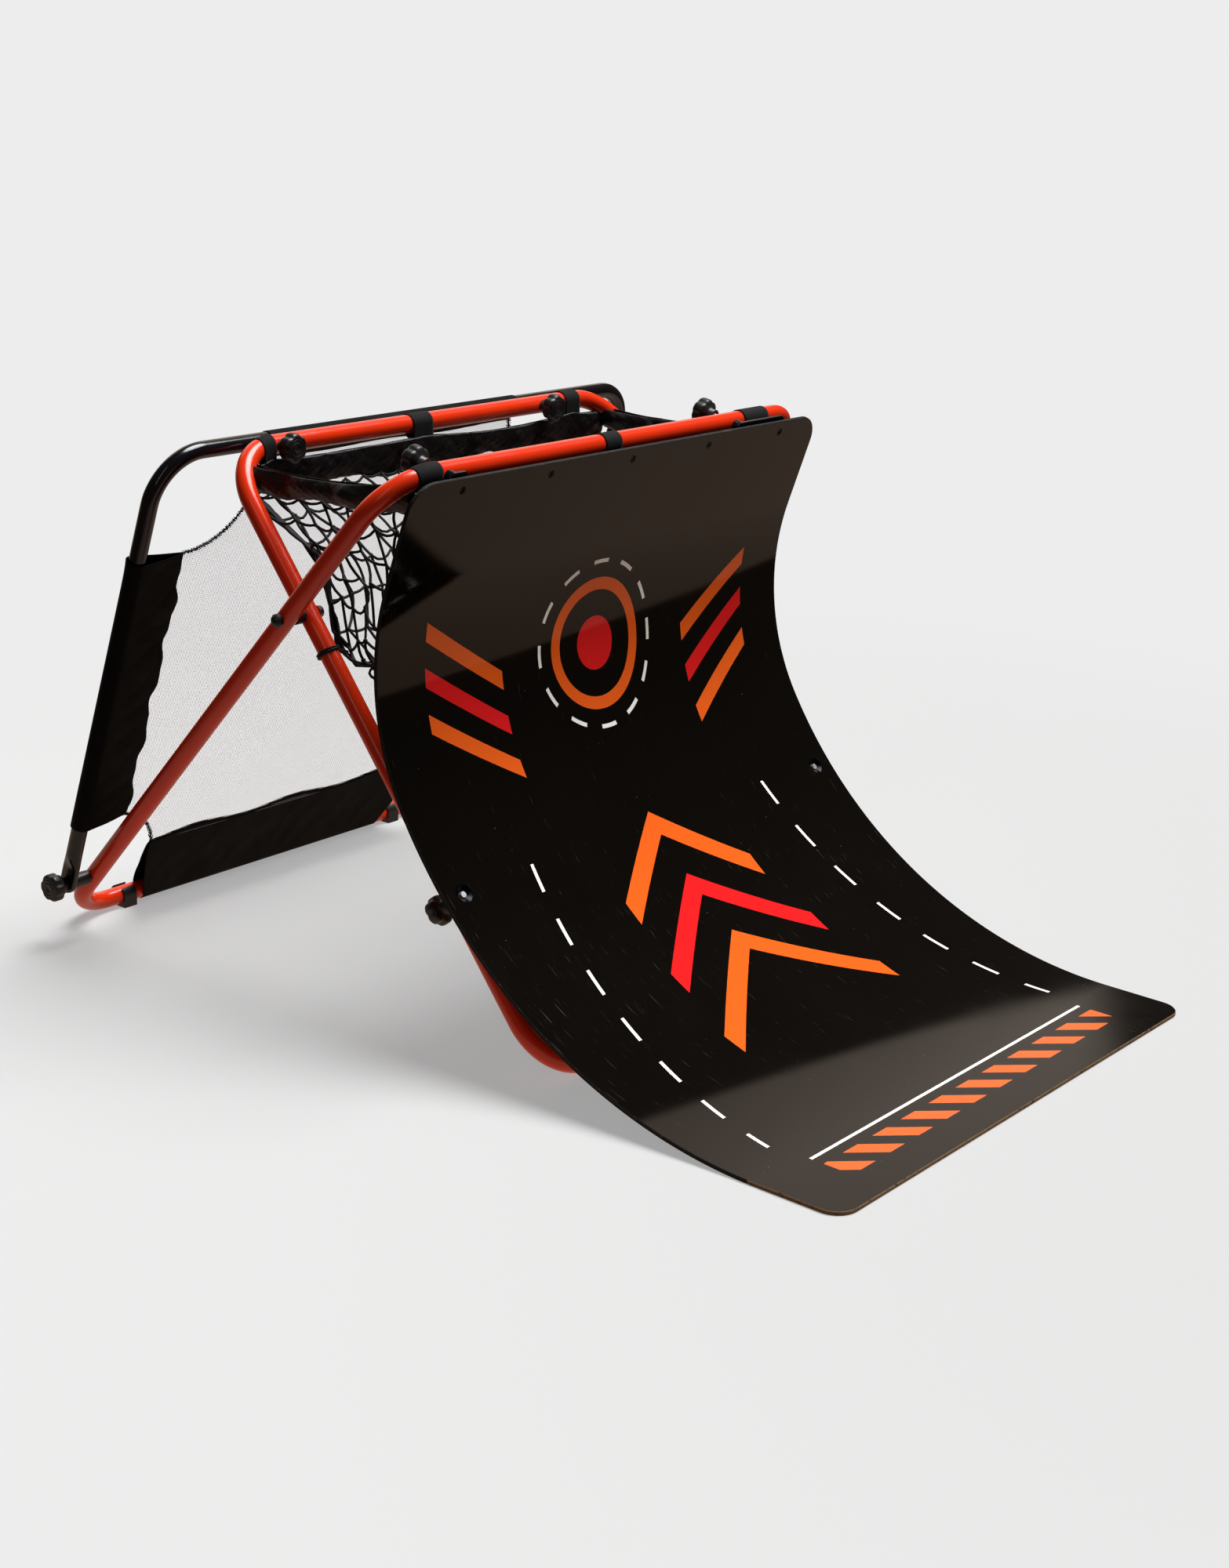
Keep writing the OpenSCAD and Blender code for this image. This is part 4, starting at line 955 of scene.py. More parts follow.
class TubeFrames(Assembly):
    """The two crossed red loops, the black rebound frame, and the pivots between them."""

    sizes = FrameSizes()

    def build(self) -> None:
        """Builds the frames."""
        for end, loop in (("rear", self.sizes.rear), ("front", self.sizes.front)):
            self.loop(end, loop)
        self.arch()
        self.dress(
            self.finishes.moulded,
            "pivot_cap_nuts", "pivot_spacers", "base_spacers", "rear_foot_clips", "front_foot_clips",
        )
        self.dress(self.finishes.zinc, "pivot_bolts", "clamp_inserts", "base_inserts")

    def loop(self, end: str, loop: Loop) -> None:
        """Bends one closed loop of red tube."""
        low, high = -loop.foot, loop.top
        corners = [(-loop.half, low), (loop.half, low), (loop.half, high), (-loop.half, high)]
        path = np.array(rounded(corners, loop.bend, closed=True))
        strands = Strands()
        strands.lay(loop.plane.at(path[:, 0], path[:, 1]), closed=True)
        name = f"{end}_loop"
        values = {"Radius": self.sizes.red_radius * MM, "Sides": 48}
        piece = self.makers.tube.grow(name, strands.guide(name), self.finishes.red_powder, **values)
        self.settle(piece, None, loop.body, "red_steel", f"{end}_leg_frame")

    def arch(self) -> None:
        """Lofts the black arch, whose leg ends are pressed flat round the base bolts."""
        s = self.sizes
        straight = s.rebound_leg - s.tail
        upper = [(-s.rebound_half, 0.0), (s.rebound_half, 0.0)]
        corners = [(-s.rebound_half, straight), *upper, (s.rebound_half, straight)]
        middle = rounded(corners, s.rebound_bend, closed=False)
        flare = np.linspace(straight - 26, straight + 4, 12)
        tip = s.rebound_leg + s.flat_width / 2 * np.sin(np.linspace(0.15, 1.0, 8) * math.pi / 2)
        tail = np.concatenate([flare, np.linspace(straight + 8, s.rebound_leg, 5), tip])
        ends = [(s.rebound_half, float(v)) for v in tail]
        path = np.array([(-x, y) for x, y in reversed(ends)] + middle[1:-1] + ends)
        rings = []
        for k, (x, y) in enumerate(path):
            ahead, back = path[min(k + 1, len(path) - 1)], path[max(k - 1, 0)]
            run = (ahead - back) / np.linalg.norm(ahead - back)
            pressed = float(np.clip((y - straight + 24) / 26, 0, 1)) if y > straight - 26 else 0.0
            pressed = pressed * pressed * (3 - 2 * pressed)
            thick = s.black_radius + (s.flat / 2 - s.black_radius) * pressed
            wide = s.black_radius + (s.flat_width / 2 - s.black_radius) * pressed
            if y > s.rebound_leg:
                wide = math.sqrt(max(0.4, wide**2 - (y - s.rebound_leg) ** 2))
            turn = np.linspace(0, TAU, 40, endpoint=False)
            power = 1.0 - 0.62 * pressed
            c, d = np.cos(turn), np.sin(turn)
            side = np.sign(c) * np.abs(c) ** power * thick
            out = np.sign(d) * np.abs(d) ** power * wide
            rings.append(REBOUND.at(x + run[1] * side, y - run[0] * side, out))
        piece = place("rebound_arch", outward(grid("rebound_arch", np.array(rings), loop=True, capped=True)))
        self.settle(piece, self.finishes.black_powder, Body.REBOUND, "black_steel", "rebound_frame")


@dataclass(frozen=True)
class RampSizes:
    """Sizes of the bent board, in millimetres, in the row frame."""

    half: float = 409.4
    thick: float = 5.5
    foot: float = 117.0
    front_y: float = -657.74
    r_low: float = 646.5
    a_low: float = math.radians(57.7)
    low_mid: tuple[float, float] = (-540.75, 652.0)
    r_high: float = 323.8
    a_high: float = math.radians(108.1)
    top: float = 137.0
    corner_top: float = 38.0
    corner_foot: float = 30.0
    chamfer: float = 0.8
    screw_pitch: float = 161.0
    screw_down: float = 16.0
    screw_sunk: float = 0.15
    screw_turns: tuple[float, ...] = (0.4, 1.1, 0.2, 0.75, 1.3)
    screw_sides: int = 24
    grid: tuple[int, int] = (91, 132)
    grid_margin: float = 4
    grid_gap: float = 2.5
    cup_x: float = 374.6
    cup_angle: float = math.radians(47.85)

    @property
    def lengths(self) -> tuple[float, float, float]:
        """Run along the riding face to the end of each curve and to the top edge."""
        first = self.foot + self.r_low * self.a_low
        second = first + self.r_high * (self.a_high - self.a_low)
        return first, second, second + self.top

    def place(self, run: float) -> tuple[np.ndarray, np.ndarray]:
        """Gives the riding face's point and its normal, as y and z, at a length up the ramp."""
        first, second, _ = self.lengths
        low = np.array(self.low_mid)
        high = low + (self.r_low - self.r_high) * np.array([math.sin(self.a_low), -math.cos(self.a_low)])
        if run < self.foot:
            return np.array([self.front_y + run, self.thick]), np.array([0.0, 1.0])
        if run < first:
            angle, middle, radius = (run - self.foot) / self.r_low, low, self.r_low
        else:
            angle, middle, radius = min(self.a_high, self.a_low + (run - first) / self.r_high), high, self.r_high
        out = np.array([math.sin(angle), -math.cos(angle)])
        point = middle + radius * out
        if run > second:
            point = point + (run - second) * np.array([math.cos(self.a_high), math.sin(self.a_high)])
        return point, -out


@dataclass(frozen=True)
class Hole:
    """A hole through the board: its middle on the riding face and its radii at depths."""

    across: float
    run: float
    walls: tuple[tuple[float, float], ...]


class Ramp(Assembly):
    """The bent board with its print, its screws, cups, rail and hanger brackets."""

    sizes = RampSizes()

    def build(self) -> None:
        """Builds the board and its hardware."""
        self.board()
        self.screws()
        self.dress(self.finishes.black_powder, "ramp_top_rail", "ramp_bracket_left", "ramp_bracket_right")
        self.dress(self.finishes.black_dish, "ramp_bolt_cups")

    def holes(self) -> list[Hole]:
        """Lists the screw holes and the cup seats."""
        s = self.sizes
        top = s.lengths[2] - s.screw_down
        screw = ((0.0, 5.15), (0.7, 5.15), (3.7, 2.25), (s.thick, 2.25))
        cup = ((0.0, 12.9), (1.2, 12.9), (5.0, 7.2), (s.thick, 7.2))
        cup_run = s.foot + s.r_low * s.cup_angle
        found = [Hole(k * s.screw_pitch, top, screw) for k in range(-2, 3)]
        return found + [Hole(side.value * s.cup_x, cup_run, cup) for side in Side]

    def outline(self, inset: float) -> np.ndarray:
        """Gives the rounded outline of the flat cut, inset by a distance."""
        s = self.sizes
        ring = []
        for x, y, radius, start in (
            (s.half, 0.0, s.corner_foot, -90), (s.half, s.lengths[2], s.corner_top, 0),
            (-s.half, s.lengths[2], s.corner_top, 90), (-s.half, 0.0, s.corner_foot, 180),
        ):
            mx = x - math.copysign(radius, x)
            my = y + radius if y < 1 else y - radius
            for a in np.radians(np.linspace(start, start + 90, 13)):
                ring.append((mx + (radius - inset) * math.cos(a), my + (radius - inset) * math.sin(a)))
        dense = []
        for k, p in enumerate(ring):
            q = ring[(k + 1) % len(ring)]
            steps = max(1, round(math.dist(p, q) / 9.0))
            dense += [(p[0] + (q[0] - p[0]) * t / steps, p[1] + (q[1] - p[1]) * t / steps) for t in range(steps)]
        return np.array(dense)

    def beyond_corner(self, u: float, v: float, slack: float = 0.0) -> bool:
        """Says whether a place of the flat cut lies beyond a rounded corner, or within the slack of its curve."""
        s = self.sizes
        top = s.lengths[2]
        return any(
            abs(u) > s.half - r and (v < r if low else v > top - r)
            and math.dist((abs(u), v), (s.half - r, r if low else top - r)) > r - slack
            for r, low in ((s.corner_foot, True), (s.corner_top, False))
        )

    def face(self, rim: np.ndarray, rings: list[np.ndarray], depth_index: int) -> tuple[list[Any], list[Any]]:
        """Fills one face of the cut with triangles that leave out the holes."""
        s = self.sizes
        columns, rows = s.grid
        flat = Strands()
        for ring in (rim, *rings):
            flat.lay((tuple(p) for p in ring), closed=True)
        holes = [((h.across, h.run), h.walls[depth_index][1]) for h in self.holes()]
        top = s.lengths[2]
        for v in np.linspace(0, top, rows + 1)[1:-1]:
            for u in np.linspace(-s.half, s.half, columns + 1)[1:-1]:
                near = min(s.half - abs(u), v, top - v)
                inner = near > s.grid_margin and not self.beyond_corner(u, v, s.grid_margin)
                if inner and all(math.dist((u, v), middle) > r + s.grid_gap for middle, r in holes):
                    flat.points.append((float(u), float(v)))
        made, _, faces, *_ = delaunay_2d_cdt([Vector(p) for p in flat.points], flat.edges, [], 0, 1e-6)
        inside = []
        for f in faces:
            c = sum((made[k] for k in f), Vector((0, 0))) / len(f)
            in_hole = any(math.dist(c, middle) < r - 0.05 for middle, r in holes)
            if not in_hole and not self.beyond_corner(c.x, c.y):
                inside.append(tuple(f))
        return [tuple(p) for p in made], inside

    def board(self) -> None:
        """Makes the bent board: two faces, a chamfered worn edge and the walls of its holes."""
        s = self.sizes
        cuts: list[tuple[float, float, float]] = []
        faces: list[tuple[int, ...]] = []
        turn = np.linspace(0, TAU, s.screw_sides, endpoint=False)
        holes = self.holes()
        circles = [
            [np.stack([h.across + r * np.cos(turn), h.run + r * np.sin(turn)], axis=1) for _, r in h.walls]
            for h in holes
        ]
        rim_in, rim_out = self.outline(s.chamfer), self.outline(0.0)
        for index, depth in ((0, 0.0), (-1, s.thick)):
            start = len(cuts)
            points, inside = self.face(rim_in, [c[index] for c in circles], index)
            cuts += [(u, v, depth) for u, v in points]
            faces += [tuple(start + k for k in (f if index == 0 else f[::-1])) for f in inside]
        edge_from = len(faces)
        strips = [[(rim_in, 0.0), (rim_out, s.chamfer), (rim_out, s.thick - s.chamfer), (rim_in, s.thick)]]
        strips += [[(ring, depth) for ring, (depth, _) in zip(c, h.walls)] for c, h in zip(circles, holes)]
        for number, strip in enumerate(strips):
            start, count = len(cuts), len(strip[0][0])
            for ring, depth in strip:
                cuts += [(float(u), float(v), depth) for u, v in ring]
            for lower in range(start, len(cuts) - count, count):
                walls = between(lower, lower + count, count)
                faces += walls if number == 0 else [quad[::-1] for quad in walls]
        sides = [s.place(v) for _, v, _ in cuts]
        points = [(u, p[0] - n[0] * d, p[1] - n[1] * d) for (u, _, d), (p, n) in zip(cuts, sides)]
        mesh = new_mesh("ramp_board", points, faces)
        mark(mesh, "across", [u * MM for u, _, _ in cuts])
        mark(mesh, "run", [v * MM for _, v, _ in cuts])
        mark(mesh, "front", [1.0 if d == 0.0 else 0.0 for _, _, d in cuts])
        mesh.materials.append(self.finishes.film)
        mesh.materials.append(self.finishes.board_edge)
        normals = []
        for polygon in mesh.polygons:
            on_edge = polygon.index >= edge_from
            polygon.material_index = 1 if on_edge else 0
            for k in polygon.vertices:
                out = Vector((0.0, *sides[k][1])) * (1.0 if cuts[k][2] == 0.0 else -1.0)
                normals.append(polygon.normal if on_edge else out)
        mesh.normals_split_custom_set([tuple(n) for n in normals])
        self.settle(place("ramp_board", mesh), None, Body.REAR_LEGS, "ramp_board", "ramp_panel")

    def screw(self) -> Piece:
        """Makes one countersunk cross-head screw, its head at the origin and its shank along -Z."""
        count, head, arm, half = self.sizes.screw_sides, 3.9, 2.6, 0.75
        ring = np.linspace(0, TAU, count, endpoint=False)
        cross: list[tuple[float, float]] = []
        notch = [(half, half), (arm, half), (arm, -half)]
        for _ in range(4):
            cross += notch
            notch = [(y, -x) for x, y in notch]
        cross.reverse()
        flat = Strands()
        flat.lay(((head * math.cos(a), head * math.sin(a)) for a in ring), closed=True)
        flat.lay(cross, closed=True)
        made, _, faces, *_ = delaunay_2d_cdt([Vector(p) for p in flat.points], flat.edges, [], 0, 1e-6)
        top = []
        for f in faces:
            c = sum((made[k] for k in f), Vector((0, 0))) / len(f)
            near, far = sorted((abs(c.x), abs(c.y)))
            if near >= half or far >= arm:
                top.append(tuple(f))
        points = [(p.x, p.y, 0.0) for p in made]
        floor, sides = len(points), len(cross)
        points += [(x * 0.6, y * 0.6, -1.9) for x, y in cross]
        around = [(k, (k + 1) % sides) for k in range(sides)]
        walls = [(count + a, count + b, floor + b, floor + a) for a, b in around] + [tuple(range(floor, floor + sides))]
        low = len(points)
        for radius, z in ((4.4, -0.3), (4.4, -0.6), (2.15, -3.4), (2.15, -10.5)):
            points += [(radius * math.cos(a), radius * math.sin(a), z) for a in ring]
        walls += between(0, low, count)
        last = len(points) - count
        for lower in range(low, last, count):
            walls += between(lower, lower + count, count)
        end = tuple(range(last, len(points)))[::-1]
        return place("cross_head_screw", outward(new_mesh("cross_head_screw", points, top + walls + [end]), merge=1e-6))

    def screws(self) -> None:
        """Sets the five rail screws, each with its own turn."""
        s = self.sizes
        model = self.screw()
        point, normal = s.place(s.lengths[2] - s.screw_down)
        sunk = point - normal * s.screw_sunk
        guide = new_mesh("rail_screw_set", [(k * s.screw_pitch, *sunk) for k in range(-2, 3)])
        mark(guide, "turn", s.screw_turns)
        values = {"Fastener": model, "Lean": (math.atan2(-normal[0], normal[1]), 0.0, 0.0)}
        piece = self.makers.fastener.grow("rail_screw_set", guide, self.finishes.black_screw, **values)
        bpy.data.objects.remove(model)
        self.settle(piece, None, Body.REAR_LEGS, "zinc_steel", "rail_screws")


@dataclass(frozen=True)
class KnobSizes:
    """Sizes of the lobed knobs, in millimetres.

    Each step of the two profiles is a radius, a height and the share of the lobes it has. The neck's
    heights count from the seat, and the head's count from the knob's top.
    """

    radius: float = 19.0
    height: float = 29.0
    lobes: int = 6
    flute_depth: float = 2.1
    flute_power: float = 2.6
    steps: int = 120
    neck: tuple[tuple[float, float, float], ...] = (
        (4.4, 0.0, 0), (8.4, 0.0, 0), (9.0, 0.7, 0), (9.0, 7.6, 0), (10.2, 9.0, 0.1),
        (14.5, 11.2, 0.6), (17.6, 12.6, 1), (18.7, 14.2, 1), (19.0, 16.4, 1),
    )
    head: tuple[tuple[float, float, float], ...] = (
        (19.0, -5.8, 1), (18.6, -3.8, 1), (17.6, -2.2, 1), (16.2, -1.1, 0.8), (14.8, -0.6, 0.4),
        (13.6, -0.45, 0.1), (13.2, -1.0, 0), (12.3, -1.0, 0), (11.9, -0.35, 0), (9.4, -0.25, 0),
        (9.0, -0.9, 0), (8.2, -0.95, 0), (7.8, -0.3, 0), (5.0, -0.2, 0), (4.5, -0.7, 0), (0.4, -0.75, 0),
    )


class Knobs(Assembly):
    """The eight lobed knobs on their studs; each has a point on its axis, the axis and the seat's place along it."""

    SPOTS = {
        "rear_knob_left": ((-291.0, 351.83, 695.26), (0.0, -1.0, 0.0), 12.8),
        "rear_knob_right": ((217.0, 351.83, 695.26), (0.0, -1.0, 0.0), 12.8),
        "hanger_knob_left": ((-326.0, 34.65, 712.97), (0.0, 0.9848, 0.1736), 22.5),
        "hanger_knob_right": ((245.0, 34.65, 712.97), (0.0, 0.9848, 0.1736), 22.5),
        "ramp_knob_left": ((-374.6, -46.4, 205.9), LEG_AXIS, 12.8),
        "ramp_knob_right": ((374.6, -46.4, 205.9), LEG_AXIS, 12.8),
        "base_knob_left": ((-458.0, 581.81, 84.87), (-1.0, 0.0, 0.0), 4.8),
        "base_knob_right": ((458.0, 581.81, 84.87), (1.0, 0.0, 0.0), 4.8),
    }
    sizes = KnobSizes()

    def outline(self, angle: float) -> float:
        """Gives the head's radius at an angle: round, with a flute between the lobes."""
        s = self.sizes
        return s.radius - s.flute_depth * (0.5 + 0.5 * math.cos(angle * s.lobes)) ** s.flute_power

    def mesh(self, name: str) -> bpy.types.Mesh:
        """Turns the knob's profile: neck, flare, lobed head and a face with concentric rings."""
        s = self.sizes
        turns = np.linspace(0, TAU, s.steps, endpoint=False)
        lobed = np.array([self.outline(float(a)) / s.radius for a in turns])
        rings = []
        for radius, z, share in (*s.neck, *((r, s.height + down, w) for r, down, w in s.head)):
            reach = radius * (1 + (lobed - 1) * share)
            rings.append(np.stack([reach * np.cos(turns), reach * np.sin(turns), np.full(s.steps, z)], axis=1))
        return outward(grid(name, np.array(rings), loop=True, capped=True))

    def build(self) -> None:
        """Builds each knob on its axis and dresses the studs."""
        for node, (spot, axis, seat) in self.SPOTS.items():
            mesh = self.mesh(f"{node}_grip")
            turn = Vector((0, 0, 1)).rotation_difference(Vector(axis)).to_matrix().to_4x4()
            at = (Vector(spot) + Vector(axis) * seat) * MM
            mesh.transform(Matrix.Translation(at) @ turn)
            self.settle(place(f"{node}_grip", mesh), self.finishes.moulded, f"{node}_body", "black_plastic", node)
        f = self.finishes
        studs = {"rear": f.stud_level, "hanger": f.stud_level, "ramp": f.stud_leg, "base": f.stud_across}
        for kind, finish in studs.items():
            self.dress(finish, f"{kind}_stud_left", f"{kind}_stud_right")


@dataclass(frozen=True)
class BasketSizes:
    """Sizes of the basket, in millimetres, in the row frame."""

    rear_bar: tuple[float, float] = (351.83, 695.26)
    front_bar: tuple[float, float] = (34.65, 712.97)
    rim_half: float = 354.1
    rim_drop: float = 15.2
    rear_rim_y: float = 338.3
    front_rim_y: float = 50.4
    front_straps: tuple[tuple[float, float], ...] = ((-372, -335), (-31, 1), (267, 321))
    rear_straps: tuple[tuple[float, float], ...] = ((-323, -301), (-50, -12), (266, 297))
    cord: float = 1.85
    knot: float = 2.5
    tie: float = 1.6
    meshes: tuple[int, int, int] = (7, 21, 7)
    net_inset: float = 10.0
    net_taper: float = 12.0
    net_pull: tuple[float, float, float] = (5.5, 3.0, 5.0)
    shortest_cord: float = 3.0
    deepest_bow: float = 9.0
    band_crease: tuple[float, ...] = (71.0, 38.0, 19.0, 9.5)
    band_slant: tuple[float, ...] = (0.9, -1.2, 1.9, -0.6)
    strap_gap: float = 1.6
    front_wall: tuple[tuple[float, float], ...] = (
        (50.0, 664.0), (58.0, 590.0), (68.4, 484.6), (73.4, 467.3), (98.4, 452.0), (128.0, 450.0),
    )
    back_wall: tuple[tuple[float, float], ...] = (
        (336.0, 640.0), (282.0, 607.0), (238.0, 585.0), (216.0, 554.0), (204.0, 509.0),
        (194.0, 467.0), (163.0, 452.0), (130.0, 450.0),
    )


class Basket(Assembly):
    """The basket between the two top bars: nylon edge, straps, knotted net and its ties."""

    sizes = BasketSizes()
    frames = FrameSizes()

    def build(self) -> None:
        """Builds the basket."""
        self.long_bands()
        self.side_bands()
        self.straps()
        self.net()
        self.ties()

    def band(
        self, name: str, line: np.ndarray, out: Sequence[float], height: np.ndarray,
        seed: int, swing: float, plump: float,
    ) -> Piece:
        """Makes one edge band: a strip folded double over a hem cord, hanging from its upper line.

        Args:
            name: Name of the piece.
            line: Upper line, one point per step.
            out: Unit vector across the band.
            height: Height of the band at each step.
            seed: Seed of its creases.
            swing: Depth of the creases.
            plump: How far each layer stands out from the middle.

        Returns:
            The piece, with its thickness.
        """
        creases = Creases(seed, self.sizes.band_crease, self.sizes.band_slant)
        down = np.linspace(-1, 1, 37)
        v = 1 - np.abs(down)
        layer = np.where(down < 0, 0.0, 300.0)
        rows = []
        for point, h, r in zip(line, height, travelled(line)):
            swell = 1.0 + 0.45 * math.sin(r / 29.0 + seed) + 0.3 * math.sin(r / 13.0)
            belly = np.sign(down) * (0.8 + plump * swell * np.sin(math.pi * np.clip(0.12 + 0.88 * v, 0, 1)) ** 0.8)
            belly *= np.sqrt(1 - np.clip(v, 0, 1) ** 12 * 0.96)
            fold = swing * creases.at(r + layer, v * h) * np.sin(math.pi * np.clip(0.1 + 0.85 * v, 0, 1))
            tuck = 1.6 * creases.at(np.full_like(v, r * 1.7 + 40), v * h * 0.6)
            drop = v * (h + tuck)
            rows.append(point + np.outer(belly + fold, out) + np.outer(-drop, (0.0, 0.0, 1.0)))
        return cloth(name, np.array(rows), 0.5)

    def long_bands(self) -> None:
        """Makes the front and rear bands of the basket's mouth, which sag between their straps."""
        s = self.sizes
        for edge, y, bar_z, straps, tall, body, seed in (
            ("rear", s.rear_rim_y, s.rear_bar[1], s.rear_straps, 38.0, Body.FRONT_LEGS, 3),
            ("front", s.front_rim_y, s.front_bar[1], s.front_straps, 30.0, Body.REAR_LEGS, 8),
        ):
            x = np.arange(-s.rim_half + 9, s.rim_half - 8.9, 3.0)
            holds = sorted((a + b) / 2 for a, b in straps)
            knots = [-s.rim_half - 30, *holds, s.rim_half + 30]
            sag = np.zeros_like(x)
            for a, b in zip(knots, knots[1:]):
                t = np.clip((x - a) / (b - a), 0, 1)
                sag += np.where((x >= a) & (x <= b), 4 * t * (1 - t), 0)
            z = bar_z - s.rim_drop - 5.0 * sag * (1 + 0.5 * np.sin(x / 90.0))
            line = np.stack([x, np.full_like(x, y), z], axis=1)
            height = tall + 4.5 * np.sin(x / 57.0 + seed) + 3.0 * np.sin(x / 21.0)
            piece = self.band(f"{edge}_valance", line, (0.0, 1.0, 0.0), height, seed, 3.4, 2.6)
            self.settle(piece, self.finishes.taffeta, body, "black_webbing", f"basket_{edge}_rim")

    def side_bands(self) -> None:
        """Makes the left and right bands, which hang between the other two."""
        s = self.sizes
        both = (Body.REAR_LEGS, Body.FRONT_LEGS)
        start, end = (0.0, s.front_rim_y + 6, 690.0), (0.0, s.rear_rim_y - 6, 675.0)
        t = np.linspace(0, 1, 92)
        y = s.front_rim_y + 5 + (s.rear_rim_y - s.front_rim_y - 10) * t
        top = s.front_bar[1] + (s.rear_bar[1] - s.front_bar[1]) * t - s.rim_drop - 36.0 * t * (1 - t)
        for side in Side:
            name = side.name.lower()
            line = np.stack([np.full_like(y, side.value * (s.rim_half - 4.0)), y, top], axis=1)
            height = 29.0 + 3.0 * np.sin(t * 9 + side.value)
            height += 5.0 * np.exp(-(((t - 0.78) / 0.13) ** 2)) + 6.0 * np.exp(-((t / 0.2) ** 2))
            piece = self.band(f"{name}_valance", line, (1.0, 0.0, 0.0), height, 11 + side.value, 4.6, 7.5)
            self.stretch(piece, self.finishes.taffeta, both, start, end, "black_webbing", f"basket_{name}_rim")

    def straps(self) -> None:
        """Makes the six straps: each goes round its bar and down both sides of the band."""
        s, f = self.sizes, self.frames
        for edge, bar, loop, spans, toward in (
            ("front", s.front_bar, f.rear, s.front_straps, 1),
            ("rear", s.rear_bar, f.front, s.rear_straps, -1),
        ):
            name = f"basket_straps_{edge}_set"
            mouth = (toward * 13.0, -s.rim_drop - 7.0)
            section, free = pocket_section(mouth, s.strap_gap, f.red_radius + 0.9, 8, 30)
            meshes = []
            for number, (low, high) in enumerate(spans):
                creases = Creases(20 + number, (19.0, 11.0), (0.3, -0.5))
                rows = []
                for x in np.linspace(low, high, 13):
                    past = max(0.0, abs(x) - (loop.half - loop.bend))
                    sink = loop.bend - math.sqrt(loop.bend * loop.bend - past * past)
                    lump = 0.5 * creases.at(x, np.arange(len(section)) * 2.0) * free
                    y = bar[0] + section[:, 0] * (1 + lump / 40) - sink * loop.plane.along_y
                    z = bar[1] + section[:, 1] + lump - sink * loop.plane.along_z
                    rows.append(np.stack([np.full(len(section), x), y, z], axis=1))
                meshes.append(cloth(f"{name}_{number}", np.array(rows), 1.1))
            piece = self.join(name, meshes)
            self.settle(piece, self.finishes.webbing, loop.body, "black_webbing", f"basket_straps_{edge}")

    def join(self, name: str, parts: Sequence[Piece]) -> Piece:
        """Joins several plain pieces into one."""
        shape = bmesh.new()
        for part in parts:
            shape.from_mesh(part.data)
            bpy.data.objects.remove(part)
        mesh = bpy.data.meshes.new(name)
        shape.to_mesh(mesh)
        shape.free()
        return place(name, mesh)

    def wall(self, path: Sequence[tuple[float, float]], share: float) -> tuple[float, float]:
        """Gives the point at a share of a wall's length."""
        points = np.array(path, float)
        lengths = travelled(points)
        at = share * lengths[-1]
        return float(np.interp(at, lengths, points[:, 0])), float(np.interp(at, lengths, points[:, 1]))

    def bag(self, chance: np.random.Generator) -> np.ndarray:
        """Places the bag's knots in rings from the mouth down; below the mouth each is pulled out of shape."""
        s = self.sizes
        rows, wide, deep = s.meshes
        nodes = np.zeros((rows + 1, 2 * (wide + deep), 3))
        for j in range(rows + 1):
            share = j / rows
            front, back = self.wall(s.front_wall, share), self.wall(s.back_wall, share)
            half = s.rim_half - s.net_inset - s.net_taper * share
            corners = np.array([(-half, *front), (half, *front), (half, *back), (-half, *back), (-half, *front)])
            ring = [
                a + (b - a) * (k / steps)
                for a, b, steps in zip(corners, corners[1:], (wide, deep, wide, deep))
                for k in range(steps)
            ]
            for i, point in enumerate(ring):
                pull = chance.normal(0, s.net_pull)
                nodes[j, i] = point + (pull if j > 0 else 0.0)
        return nodes

    def net(self) -> None:
        """Knots the bag: rings of square meshes, pulled out of shape, that close along the middle of the floor."""
        s = self.sizes
        chance = np.random.default_rng(41)
        nodes = self.bag(chance)
        rings, around = nodes.shape[:2]
        strands = Strands()
        strands.points += list(nodes.reshape(-1, 3))
        links = [((j, i), (j, (i + 1) % around)) for j in range(rings) for i in range(around)]
        links += [((j, i), (j + 1, i)) for j in range(rings - 1) for i in range(around)]
        for a, b in links:
            start, end = nodes[a], nodes[b]
            length = float(np.linalg.norm(end - start))
            if length < s.shortest_cord:
                continue
            if a[0] == b[0]:
                aside, down = chance.normal(0, 1.8), 0.1 * length + chance.uniform(-1.5, 5.0)
                bow = np.array([0.0, aside, -min(s.deepest_bow, down)])
            else:
                bow = np.array([chance.normal(0, 3.4), chance.normal(0, 2.6), 0.0])
            first = len(strands.points)
            strands.points += [start + (end - start) * t + bow * 4 * t * (1 - t) for t in (0.25, 0.5, 0.75)]
            row = (a[0] * around + a[1], first, first + 1, first + 2, b[0] * around + b[1])
            strands.edges += zip(row, row[1:])
        self.gathers(strands, chance)
        guide = strands.guide("knotted_basket_net")
        mark(guide, "knot", np.arange(len(strands.points)) < rings * around)
        values = {"Radius": s.cord * MM, "Knot": s.knot * MM, "Seed": 5}
        piece = self.makers.net.grow("knotted_basket_net", guide, self.finishes.net_cord, **values)
        both = (Body.REAR_LEGS, Body.FRONT_LEGS)
        self.stretch(piece, self.finishes.net_cord, both, (0, 50, 660), (0, 338, 640), "black_cord", "basket_net")

